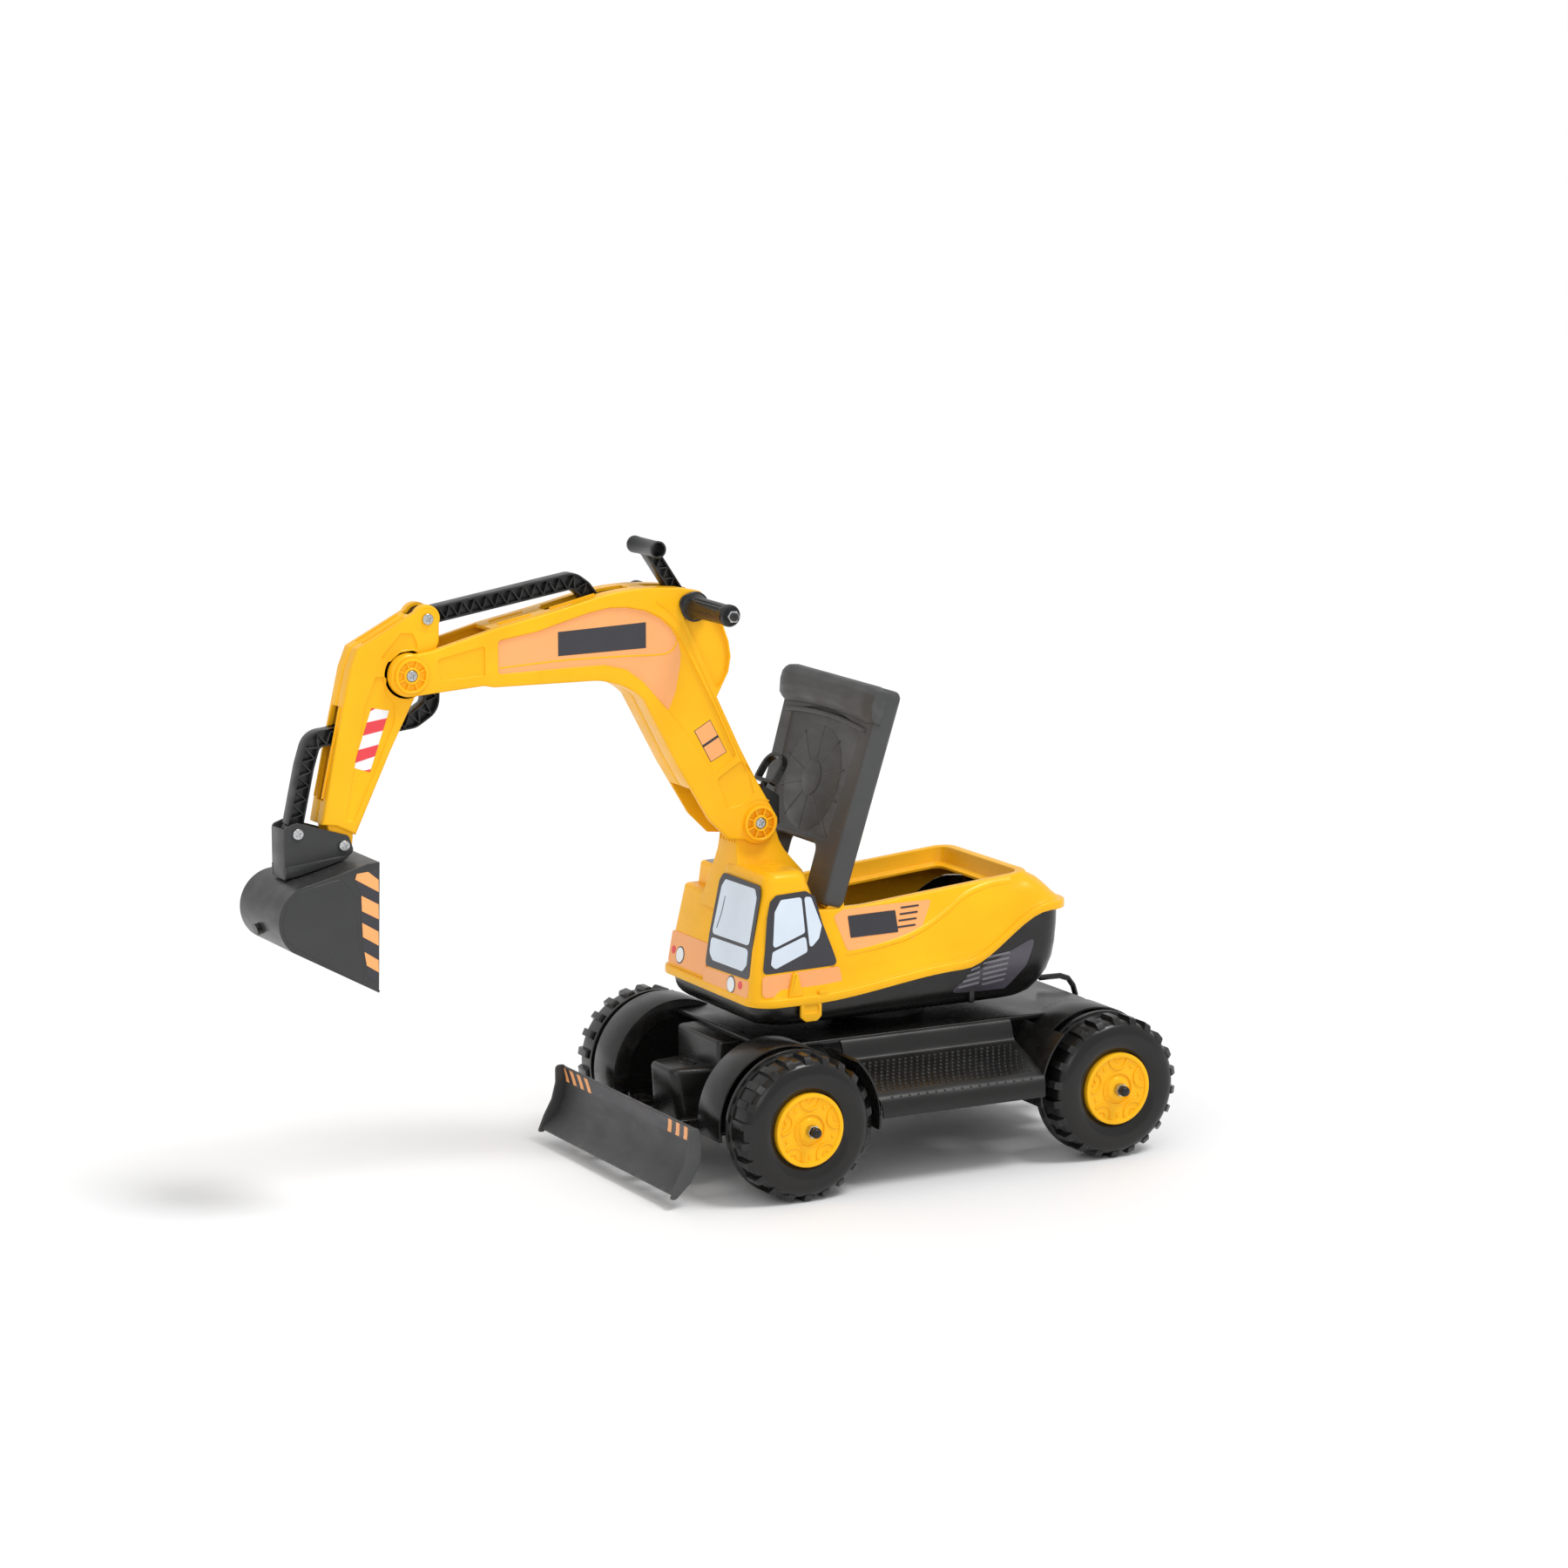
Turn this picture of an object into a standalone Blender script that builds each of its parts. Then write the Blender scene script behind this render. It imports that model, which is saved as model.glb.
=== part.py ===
"""Ride-on toy digger: wheeled chassis, swivelling seat body and a lever-worked arm.

Metres, +Z up.  The digger faces -Y and +X is its left side.  Every mesh is drawn in
machine coordinates: x from the centre plane, y from the front axle, z from the floor.
The empty "digger_frame" carries those coordinates to the world, where the origin lies
on the floor under the middle of the whole digger.
"""

import math

import bmesh
import bpy
from mathutils import Matrix, Vector

# ---------------------------------------------------------------- driving dimensions
FRONT_AXLE_Y = 0.0353          # world y of the front axle: centres the digger on the origin
GAP = 0.0003                   # between pieces that touch
PIN_PLAY = 0.0003              # radial play of a pin in its hole

WHEEL_RADIUS = 0.082
WHEELBASE = 0.396
WHEEL_INNER_X = 0.166          # inner flange of a tyre
WHEEL_DEPTH = 0.0464           # inner flange to sidewall
HUB_RADIUS = 0.0414
AXLE_RADIUS = 0.004
AXLE_HALF = 0.2225
LUGS = 22

DECK_Z = 0.156                 # top of the chassis deck
DECK_HALF = 0.118
TRUNK_HALF = 0.052
FENDER_RADIUS = 0.0836         # mudguards stay under the swivelling body
FENDER_X = (0.104, 0.1560)
STEP_ARC = 0.0940              # foot boards are cut round the wheels
WALL = 0.003                   # chassis wall thickness

PIVOT_Y = 0.198                # swivel axis, half way between the axles
TUB_FLOOR_Z = 0.172
TURNTABLE_Z = 0.1665

BODY_HALF = 0.1165             # side wall just above the flange
FLANGE_HALF = 0.1228
RIM_HALF = 0.095
BODY_FRONT = -0.013
BODY_REAR = 0.3785
SHELL = 0.0026                 # moulded shell thickness

SEAT_HINGE = (0.100, 0.3015)   # (y, z)
SEAT_OPEN = 73.5               # degrees from level, as the lid stands open
SEAT_LENGTH = 0.246

BOOM_PIVOT = (0.034, 0.390)
ELBOW = (-0.3865, 0.587)
ROD_PIN = (-0.362, 0.645)      # top of the dipper
BUCKET_PIN = (-0.462, 0.4076)
LINK_PIN = (-0.5148, 0.4247)   # rear ear of the bucket bracket
ANCHOR = (-0.352, 0.573)       # link's fixed end inside the boom tip
GRIP = (-0.047, 0.639)         # handgrip axis, also the control lever's pivot
CRANK_PIN = (-0.075, 0.560)    # lower end of the control lever
T_GRIP = (-0.0905, 0.704)
LOCK_FOOT = (0.0451, 0.4122)   # a point on the lock handle's slide axis
LOCK_LEAN = 33                 # degrees from upright, leaning back
HITCH_Y = 0.4695

BOOM_HALF = 0.029
BOSS_FACE = 0.0345
TOWER_HALF = 0.0225
DIPPER_HALF = 0.0195
LINK_HALF = 0.0085
BRACKET_HALF = 0.018
EAR = 0.003
BUCKET_HALF = 0.0565
BOLT_RADIUS = 0.0035
HEAD_RADIUS = 0.0062
HEAD_HEIGHT = 0.0030
ROD_EYE_RADIUS = 0.0064        # roomy eyes: the loop-closing pivots are open here
LINK_EYE_RADIUS = 0.0055

YELLOW = ((0.93, 0.50, 0.02), 0.28, 0.0)
BLACK = ((0.018, 0.018, 0.020), 0.22, 0.0)
GREY = ((0.060, 0.060, 0.062), 0.48, 0.0)
STEEL = ((0.62, 0.62, 0.60), 0.30, 1.0)

# ---------------------------------------------------------------- scene set-up
for old in list(bpy.data.objects):
    bpy.data.objects.remove(old, do_unlink=True)

PARTS = bpy.data.collections.new("ride_on_digger")
CUTTERS = bpy.data.collections.new("cutters")
bpy.context.scene.collection.children.link(PARTS)
bpy.context.scene.collection.children.link(CUTTERS)

AXLE_YS = {"front": 0.0, "rear": WHEELBASE}
SIDES = {"left": 1, "right": -1}


# ---------------------------------------------------------------- outline helpers
def arc(centre, radius, start, end, steps):
    """Points of a circular arc in a plane, angles in degrees."""
    points = []
    for i in range(steps + 1):
        a = math.radians(start + (end - start) * i / steps)
        points.append((centre[0] + radius * math.cos(a), centre[1] + radius * math.sin(a)))
    return points


def signed_area(points):
    """Twice the area, positive for a counter-clockwise outline."""
    pairs = zip(points, points[1:] + points[:1])
    return sum(a[0] * b[1] - b[0] * a[1] for a, b in pairs)


def normal(a, b):
    """Unit vector to the left of the run from a to b."""
    run = Vector((b[0] - a[0], b[1] - a[1])).normalized()
    return Vector((-run.y, run.x))


def mitre(before, here, after, distance):
    """The corner `here` moved sideways by `distance`, to the left of the path."""
    n1 = normal(before, here)
    n2 = normal(here, after)
    bisector = (n1 + n2).normalized()
    length = distance / max(0.35, bisector.dot(n1))
    return (here[0] + bisector.x * length, here[1] + bisector.y * length)


def inset(points, distance):
    """A closed outline moved inwards by `distance`."""
    sign = 1 if signed_area(points) > 0 else -1
    count = len(points)
    return [mitre(points[i - 1], points[i], points[(i + 1) % count], sign * distance)
            for i in range(count)]


def ribbon(path, width):
    """The closed outline of a band of even width along an open path."""
    sides = []
    for offset in (width / 2, -width / 2):
        side = []
        for i, here in enumerate(path):
            before = path[i - 1] if i else (2 * here[0] - path[1][0], 2 * here[1] - path[1][1])
            last = i == len(path) - 1
            after = (2 * here[0] - before[0], 2 * here[1] - before[1]) if last else path[i + 1]
            side.append(mitre(before, here, after, offset))
        sides.append(side)
    return sides[0] + sides[1][::-1]


def rounded(points, radius, steps=3):
    """A closed outline with each corner replaced by an arc that touches both sides."""
    result = []
    count = len(points)
    for i in range(count):
        here = Vector(points[i])
        to_before = Vector(points[i - 1]) - here
        to_after = Vector(points[(i + 1) % count]) - here
        half = to_before.angle(to_after) / 2
        run = min(radius / math.tan(half), 0.45 * to_before.length, 0.45 * to_after.length)
        start = here + to_before.normalized() * run
        end = here + to_after.normalized() * run
        for step in range(steps + 1):
            t = step / steps
            point = start * (1 - t) ** 2 + here * 2 * t * (1 - t) + end * t ** 2
            result.append(tuple(point))
    return result


# ---------------------------------------------------------------- solid helpers
def add_object(name, mesh, collection=PARTS):
    obj = bpy.data.objects.new(name, mesh)
    collection.objects.link(obj)
    return obj


def from_bmesh(name, bm, collection=PARTS):
    bmesh.ops.recalc_face_normals(bm, faces=bm.faces)
    mesh = bpy.data.meshes.new(name)
    bm.to_mesh(mesh)
    bm.free()
    return add_object(name, mesh, collection)


def baked(obj):
    """The object with its curve or modifiers turned into a plain welded mesh."""
    graph = bpy.context.evaluated_depsgraph_get()
    graph.update()
    mesh = bpy.data.meshes.new_from_object(obj.evaluated_get(graph))
    mesh.transform(obj.matrix_world)
    collection = obj.users_collection[0]
    label = obj.name
    bpy.data.objects.remove(obj, do_unlink=True)
    bm = bmesh.new()
    bm.from_mesh(mesh)
    bmesh.ops.remove_doubles(bm, verts=bm.verts, dist=0.000001)
    mesh.name = label
    bmesh.ops.recalc_face_normals(bm, faces=bm.faces)
    bm.to_mesh(mesh)
    bm.free()
    return add_object(label, mesh, collection)


def box(name, low, high, bevel=0.0, segments=2):
    bm = bmesh.new()
    bmesh.ops.create_cube(bm, size=1.0)
    size = [high[i] - low[i] for i in range(3)]
    centre = [(high[i] + low[i]) / 2 for i in range(3)]
    bmesh.ops.scale(bm, vec=size, verts=bm.verts)
    bmesh.ops.translate(bm, vec=centre, verts=bm.verts)
    obj = from_bmesh(name, bm)
    if bevel:
        round_edges(obj, bevel, segments)
    return obj


def cylinder(name, radius, start, end, segments=20):
    """A cylinder between two points."""
    start, end = Vector(start), Vector(end)
    bm = bmesh.new()
    bmesh.ops.create_cone(bm, cap_ends=True, segments=segments, radius1=radius, radius2=radius,
                          depth=(end - start).length)
    turn = Vector((0, 0, 1)).rotation_difference(end - start).to_matrix().to_4x4()
    bmesh.ops.transform(bm, matrix=Matrix.Translation((start + end) / 2) @ turn, verts=bm.verts)
    return from_bmesh(name, bm)


FACE_X = Matrix(((0, 0, 1, 0), (1, 0, 0, 0), (0, 1, 0, 0), (0, 0, 0, 1)))
FACE_Y = Matrix(((1, 0, 0, 0), (0, 0, -1, 0), (0, 1, 0, 0), (0, 0, 0, 1)))
FACE_Z = Matrix.Identity(4)


def slab(name, outline, low, high, facing=FACE_X):
    """A flat outline given thickness from low to high along the axis that it faces.

    FACE_X outlines are (y, z), FACE_Y outlines (x, z) with low and high along -Y,
    and FACE_Z outlines (x, y).
    """
    curve = bpy.data.curves.new(name, "CURVE")
    curve.dimensions = "2D"
    curve.fill_mode = "BOTH"
    curve.extrude = (high - low) / 2
    spline = curve.splines.new("POLY")
    spline.points.add(len(outline) - 1)
    for point, (u, v) in zip(spline.points, outline):
        point.co = (u, v, 0, 1)
    spline.use_cyclic_u = True
    obj = add_object(name, curve)
    obj.matrix_world = facing @ Matrix.Translation((0, 0, (low + high) / 2))
    bpy.context.view_layer.update()
    return baked(obj)


def turned(name, profile, centre, outward, segments):
    """A closed (radius, height) profile turned about an X axis through centre.

    Height runs along `outward`, +1 or -1 times X.
    """
    mesh = bpy.data.meshes.new(name)
    count = len(profile)
    edges = [(i, (i + 1) % count) for i in range(count)]
    mesh.from_pydata([(r, 0, h) for r, h in profile], edges, [])
    obj = add_object(name, mesh)
    screw = obj.modifiers.new("turn", "SCREW")
    screw.steps = segments
    screw.render_steps = segments
    screw.use_merge_vertices = True
    screw.merge_threshold = 0.00001
    screw.use_normal_calculate = True
    quarter = Matrix.Rotation(math.radians(90 * outward), 4, "Y")
    obj.matrix_world = Matrix.Translation(centre) @ quarter
    bpy.context.view_layer.update()
    return baked(obj)


def wire(name, path, radius, resolution=2):
    """A round bar along a path of points."""
    curve = bpy.data.curves.new(name, "CURVE")
    curve.dimensions = "3D"
    curve.bevel_depth = radius
    curve.bevel_resolution = resolution
    curve.use_fill_caps = True
    spline = curve.splines.new("POLY")
    spline.points.add(len(path) - 1)
    for point, place in zip(spline.points, path):
        point.co = (*place, 1)
    return baked(add_object(name, curve))


def loft(name, rings, closed=True):
    """A skin through rings of equal point counts, capped when closed."""
    bm = bmesh.new()
    rows = [[bm.verts.new(point) for point in ring] for ring in rings]
    count = len(rings[0])
    for lower, upper in zip(rows, rows[1:]):
        for i in range(count):
            j = (i + 1) % count
            bm.faces.new((lower[i], lower[j], upper[j], upper[i]))
    if closed:
        bm.faces.new(rows[0][::-1])
        bm.faces.new(rows[-1])
    return from_bmesh(name, bm)


def padded(name, outline, near, far, edge):
    """A (y, z) outline standing from x = near to x = far, its far rim rounded over."""
    step = math.copysign(edge, far - near)
    profile = ((0.0, near), (0.0, far - step), (0.3 * edge, far - 0.3 * step), (edge, far))
    rings = []
    for margin, x in profile:
        ring = inset(outline, margin) if margin else outline
        rings.append([(x, y, z) for y, z in ring])
    return loft(name, rings)


def rectangle(x, y, z):
    """Four corners of a level rectangle, x and y given as (low, high)."""
    return [(x[0], y[0], z), (x[1], y[0], z), (x[1], y[1], z), (x[0], y[1], z)]


def round_edges(obj, width, segments=2, angle=40):
    bevel = obj.modifiers.new("round", "BEVEL")
    bevel.width = width
    bevel.segments = segments
    bevel.limit_method = "ANGLE"
    bevel.angle_limit = math.radians(angle)
    return obj


def combine(piece, tools, operation):
    """Adds Boolean modifiers; the tools become guides that follow the piece."""
    for tool in tools:
        modifier = piece.modifiers.new(operation.lower(), "BOOLEAN")
        modifier.operation = operation
        modifier.solver = "EXACT"
        modifier.object = tool
        PARTS.objects.unlink(tool)
        CUTTERS.objects.link(tool)
        tool.hide_render = True
        tool.display_type = "WIRE"
        tool.parent = piece
    return piece


def join(piece, *tools):
    return combine(piece, tools, "UNION")


def cut(piece, *tools):
    return combine(piece, tools, "DIFFERENCE")


def hollow(obj, thickness):
    """Gives an open skin its wall, on the inside."""
    solid = obj.modifiers.new("wall", "SOLIDIFY")
    solid.thickness = thickness
    solid.offset = -1
    solid.use_even_offset = True
    return obj


def close_flat(obj, height):
    """Fills the open ring of an upright skin that lies level at `height`."""
    bm = bmesh.new()
    bm.from_mesh(obj.data)
    bmesh.ops.holes_fill(bm, edges=[edge for edge in bm.edges if edge.is_boundary
                                    and all(abs(v.co.z - height) < 0.0001 for v in edge.verts)])
    bmesh.ops.recalc_face_normals(bm, faces=bm.faces)
    bm.to_mesh(obj.data)
    bm.free()
    return obj


def hole_x(place, radius, half=0.3, segments=16):
    """A cutter that bores right across the machine at (y, z)."""
    return cylinder("bore", radius, (-half, *place), (half, *place), segments)


# ---------------------------------------------------------------- placing pieces
FRAME = add_object("digger_frame", None)
FRAME.location = (0, FRONT_AXLE_Y, 0)


def joint_axis(name, place, parent=FRAME, parent_place=(0, 0, 0)):
    """An empty on a joint's axis; everything that moves with it hangs from it."""
    empty = add_object(name, None)
    empty.parent = parent
    empty.location = Vector(place) - Vector(parent_place)
    return empty


def hang(pieces, empty=FRAME, place=(0, 0, 0)):
    for piece in pieces:
        piece.parent = empty
        piece.location = -Vector(place)


def finish(piece, look, smooth_angle=35):
    colour, roughness, metallic = look
    material = bpy.data.materials.new(piece.name + "_material")
    material.use_nodes = True
    shader = material.node_tree.nodes["Principled BSDF"]
    shader.inputs["Base Color"].default_value = (*colour, 1)
    shader.inputs["Roughness"].default_value = roughness
    shader.inputs["Metallic"].default_value = metallic
    material.diffuse_color = (*colour, 1)
    if any(modifier.type == "BOOLEAN" for modifier in piece.modifiers):
        weld = piece.modifiers.new("weld", "WELD")
        weld.merge_threshold = 0.00002
    piece.data.materials.clear()
    piece.data.materials.append(material)
    piece.data.shade_smooth()
    piece.data.set_sharp_from_angle(angle=math.radians(smooth_angle))
    return piece


# ---------------------------------------------------------------- wheels and axles
def tyre(name, centre, outward):
    """Moulded wheel, open on its inner side, with lugs round the outer shoulder."""
    carcass = 0.0770
    wall_inner = 0.0735
    profile = [
        (AXLE_RADIUS + 0.0006, 0.0), (0.0105, 0.0), (0.0105, 0.033), (0.0410, 0.033),
        (0.0470, 0.0400), (0.0660, 0.0420), (wall_inner, 0.0340), (wall_inner, 0.0),
        (WHEEL_RADIUS, 0.0), (WHEEL_RADIUS, 0.0045), (carcass, 0.0055),
        (carcass, 0.034), (0.0735, 0.0415), (0.0640, 0.0460), (0.0540, WHEEL_DEPTH),
        (HUB_RADIUS + 0.0012, 0.0420), (HUB_RADIUS + 0.0012, 0.036),
        (AXLE_RADIUS + 0.0006, 0.036),
    ]
    base = turned(name, profile, centre, outward, LUGS)
    lugs = bmesh.new()
    for i in range(LUGS):
        made = bmesh.ops.create_cube(lugs, size=1.0)["verts"]
        bmesh.ops.scale(lugs, vec=(0.026, 0.0095, 0.0085), verts=made)
        shift = Matrix.Translation((outward * 0.0265, 0, WHEEL_RADIUS - 0.00425))
        spin = Matrix.Rotation(math.radians(360 * (i + 0.5) / LUGS), 4, "X")
        place = Matrix.Translation(centre) @ spin @ shift
        bmesh.ops.transform(lugs, matrix=place, verts=made)
    return join(base, from_bmesh("lugs", lugs))


def hub_cap(name, centre, outward):
    bore = AXLE_RADIUS + 0.0006
    back = 0.0363
    profile = [
        (bore, back), (HUB_RADIUS, back), (HUB_RADIUS, 0.0445), (0.0400, 0.0458),
        (0.0368, 0.0458), (0.0356, 0.0436), (0.0145, 0.0436), (0.0120, 0.0470),
        (bore, 0.0470),
    ]
    return turned(name, profile, centre, outward, 18)


def axle_nut(name, centre, outward):
    x0 = centre[0] + outward * 0.0475
    x1 = centre[0] + outward * 0.0545
    nut = cylinder(name, 0.0075, (x0, *centre[1:]), (x1, *centre[1:]), 6)
    return cut(nut, hole_x(centre[1:], AXLE_RADIUS + PIN_PLAY))


def axle_cap(name, centre, outward):
    """Domed end cap in front of the axle end."""
    x = AXLE_HALF + GAP
    steps = 12
    rings = []
    for r, h in ((0.0060, 0.0), (0.0060, 0.0030), (0.0050, 0.0052), (0.0028, 0.0064), (0.0010, 0.0068)):
        angles = [2 * math.pi * i / steps for i in range(steps)]
        rings.append([(outward * (x + h), centre[1] + r * math.cos(a), centre[2] + r * math.sin(a))
                      for a in angles])
    return loft(name, rings)


def running_gear():
    for end, y in AXLE_YS.items():
        shaft = cylinder(f"{end}_axle", AXLE_RADIUS, (-AXLE_HALF, y, WHEEL_RADIUS),
                         (AXLE_HALF, y, WHEEL_RADIUS), 16)
        hang([finish(shaft, STEEL)])
        for side, outward in SIDES.items():
            tag = f"{end}_{side}"
            centre = (outward * WHEEL_INNER_X, y, WHEEL_RADIUS)
            hinge = joint_axis(f"{tag}_wheel_axis", centre)
            rolling = [finish(tyre(f"{tag}_wheel", centre, outward), BLACK),
                       finish(hub_cap(f"{tag}_hub_cap", centre, outward), YELLOW)]
            hang(rolling, hinge, centre)
            fixed = [finish(axle_nut(f"{tag}_axle_nut", centre, outward), STEEL),
                     finish(axle_cap(f"{tag}_axle_cap", centre, outward), BLACK)]
            hang(fixed)


# ---------------------------------------------------------------- chassis and blade
def fender(y, side):
    """Arched mudguard beside a wheel, with its inner wall."""
    centre = (y, WHEEL_RADIUS)
    arch = arc(centre, FENDER_RADIUS, -12, 192, 9)
    arch += arc(centre, FENDER_RADIUS - WALL, 192, -12, 9)
    low, high = sorted((side * FENDER_X[0], side * FENDER_X[1]))
    band = slab("fender", arch, low, high)
    low, high = sorted((side * (FENDER_X[0] + 0.0008), side * (FENDER_X[0] + WALL)))
    wall = slab("fender_wall", arc(centre, FENDER_RADIUS - 0.0013, -12, 192, 9), low, high)
    return [band, wall]


def foot_step(side):
    """Sloping foot board between the wheels, turned down along its outer edge."""
    path = [(0.110, 0.1535), (0.1205, 0.1490), (0.1280, 0.1310), (0.1900, 0.1090),
            (0.2005, 0.1030), (0.2050, 0.0940), (0.2060, 0.0840)]
    outline = [(side * x, z) for x, z in ribbon(path, WALL)]
    board = slab("foot_step", outline, -0.3080, -0.0880, FACE_Y)
    for y in AXLE_YS.values():
        wheel_room = cylinder("wheel_room", STEP_ARC, (side * 0.1565, y, WHEEL_RADIUS),
                              (side * 0.25, y, WHEEL_RADIUS), 36)
        cut(board, wheel_room)
    return baked(board)


def step_end(y, side, start, end):
    """Curved end wall of the foot board, beside the wheel."""
    centre = (y, WHEEL_RADIUS)
    outline = arc(centre, STEP_ARC + 0.0017, start, end, 5)
    outline += arc(centre, STEP_ARC - 0.0013, end, start, 5)
    low, high = sorted((side * 0.1300, side * 0.2000))
    return slab("step_end", outline, low, high)


def chassis():
    body = box("chassis", (-TRUNK_HALF, -0.030, 0.055), (TRUNK_HALF, 0.432, 0.152))
    nose = loft("nose", [
        [(-0.036, -0.070, 0.060), (0.036, -0.070, 0.060), (0.050, 0.0, 0.056), (-0.050, 0.0, 0.056)],
        [(-0.027, -0.078, 0.115), (0.027, -0.078, 0.115), (0.046, 0.0, 0.118), (-0.046, 0.0, 0.118)],
    ])
    round_edges(nose, 0.005, 2)
    room = box("trunk_room", (-TRUNK_HALF + WALL, -0.024, 0.040), (TRUNK_HALF - WALL, 0.426, 0.147))
    nose_room = loft("nose_room", [
        [(-0.033, -0.066, 0.040), (0.033, -0.066, 0.040), (0.046, -0.02, 0.040), (-0.046, -0.02, 0.040)],
        [(-0.024, -0.074, 0.112), (0.024, -0.074, 0.112), (0.042, -0.02, 0.112), (-0.042, -0.02, 0.112)],
    ])
    deck = slab("deck", rounded([(-DECK_HALF, -0.004), (DECK_HALF, -0.004), (DECK_HALF, 0.400),
                                 (0.080, 0.436), (-0.080, 0.436), (-DECK_HALF, 0.400)], 0.018, 2),
                DECK_Z - 0.006, DECK_Z, FACE_Z)
    turntable = cylinder("turntable_seat", 0.056, (0, PIVOT_Y, 0.1515), (0, PIVOT_Y, TURNTABLE_Z), 28)
    tongue = slab("tongue", rounded([(-0.026, 0.420), (0.026, 0.420), (0.018, 0.487),
                                     (-0.018, 0.487)], 0.008), 0.108, 0.122, FACE_Z)
    sleeve = cylinder("hitch_sleeve", 0.0085, (0, HITCH_Y, 0.115), (0, HITCH_Y, 0.134), 16)
    join(body, nose)
    cut(body, room, nose_room)
    join(body, deck, turntable, tongue, sleeve)
    for side in SIDES.values():
        arm_x = sorted((side * 0.043, side * 0.057))
        arm = box("blade_arm", (arm_x[0], -0.0950, 0.050), (arm_x[1], -0.020, 0.068), 0.002, 1)
        apron = slab("apron", [(side * x, y) for x, y in
                               ((0.030, -0.074), (0.060, -0.078), (0.112, -0.064), (0.112, -0.030),
                                (0.030, -0.020))], 0.060, 0.064, FACE_Z)
        join(body, arm, apron, foot_step(side))
        for y in AXLE_YS.values():
            tube = cylinder("axle_tube", 0.012, (side * 0.045, y, WHEEL_RADIUS),
                            (side * (WHEEL_INNER_X - 0.0008), y, WHEEL_RADIUS), 16)
            join(body, *fender(y, side), tube)
        join(body, step_end(0.0, side, -8, 42), step_end(WHEELBASE, side, 138, 188))
    bores = [hole_x((y, WHEEL_RADIUS), AXLE_RADIUS + PIN_PLAY) for y in AXLE_YS.values()]
    pivot_bore = cylinder("pivot_bore", 0.0055, (0, PIVOT_Y, 0.10), (0, PIVOT_Y, 0.20), 16)
    hitch_bore = cylinder("hitch_bore", 0.0040, (0, HITCH_Y, 0.08), (0, HITCH_Y, 0.16), 16)
    return cut(body, *bores, pivot_bore, hitch_bore)


def dozer_blade():
    """Curved sheet with end plates and two lugs that meet the chassis arms."""
    path = [(-0.1165, 0.0870), (-0.1140, 0.0690), (-0.1165, 0.0500), (-0.1270, 0.0320),
            (-0.1450, 0.0165)]
    blade = slab("dozer_blade", ribbon(path, WALL), -0.168, 0.168)
    end = rounded([(-0.1270, 0.0890), (-0.1140, 0.0890), (-0.1110, 0.0690), (-0.1135, 0.0480),
                   (-0.1245, 0.0290), (-0.1430, 0.0120), (-0.1500, 0.0130), (-0.1420, 0.0320),
                   (-0.1320, 0.0500), (-0.1270, 0.0690)], 0.003, 2)
    for side in SIDES.values():
        low, high = sorted((side * 0.1655, side * 0.1690))
        lug_x = sorted((side * 0.044, side * 0.056))
        lug = box("blade_lug", (lug_x[0], -0.1195, 0.051), (lug_x[1], -0.0953, 0.067))
        join(blade, slab("end_plate", end, low, high), lug)
    return blade


# ---------------------------------------------------------------- hitch pin
def hitch_pin():
    path = [(0, 0.4200, 0.1665), (0, 0.4480, 0.1660), (0, 0.4590, 0.1620), (0, 0.4660, 0.1530),
            (0, HITCH_Y, 0.1420), (0, HITCH_Y, 0.0900)]
    pin = wire("hitch_pin", path, 0.0035)
    collar = cylinder("collar", 0.0070, (0, HITCH_Y, 0.1343), (0, HITCH_Y, 0.1375), 14)
    return join(pin, collar)


# ---------------------------------------------------------------- upper body
def smooth_step(t):
    t = min(1.0, max(0.0, t))
    return t * t * (3 - 2 * t)


def split_z(y):
    """Height of the seam between the black tub and the yellow shell."""
    return 0.199 + 0.019 * smooth_step((y - 0.05) / 0.20) + 0.057 * smooth_step((y - 0.245) / 0.115)


def rim_z(y):
    """Height of the rim that the seat closes on."""
    return 0.2990 + 0.0864 * max(0.0, y - 0.13)


def body_ring(half, front, rear, corner, height):
    """A rounded rectangle seen from above; height(y) gives each point's z."""
    corners = [(half, rear, 0), (-half, rear, 90), (-half, front, 180), (half, front, 270)]
    ring = []
    for x, y, start in corners:
        cx = x - math.copysign(corner, x)
        cy = y - corner if y == rear else y + corner
        for px, py in arc((cx, cy), corner, start, start + 90, 3):
            ring.append((px, py, height(py)))
    middle = []
    for here, there in zip(ring, ring[1:] + ring[:1]):
        middle.append(here)
        if abs(here[1] - there[1]) > 0.08:
            shares = (0.2, 0.4, 0.6, 0.72, 0.86)
            if there[1] < here[1]:
                shares = [1 - t for t in shares[::-1]]
            for t in shares:
                y = here[1] + (there[1] - here[1]) * t
                middle.append((here[0] + (there[0] - here[0]) * t, y, height(y)))
    return middle


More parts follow.
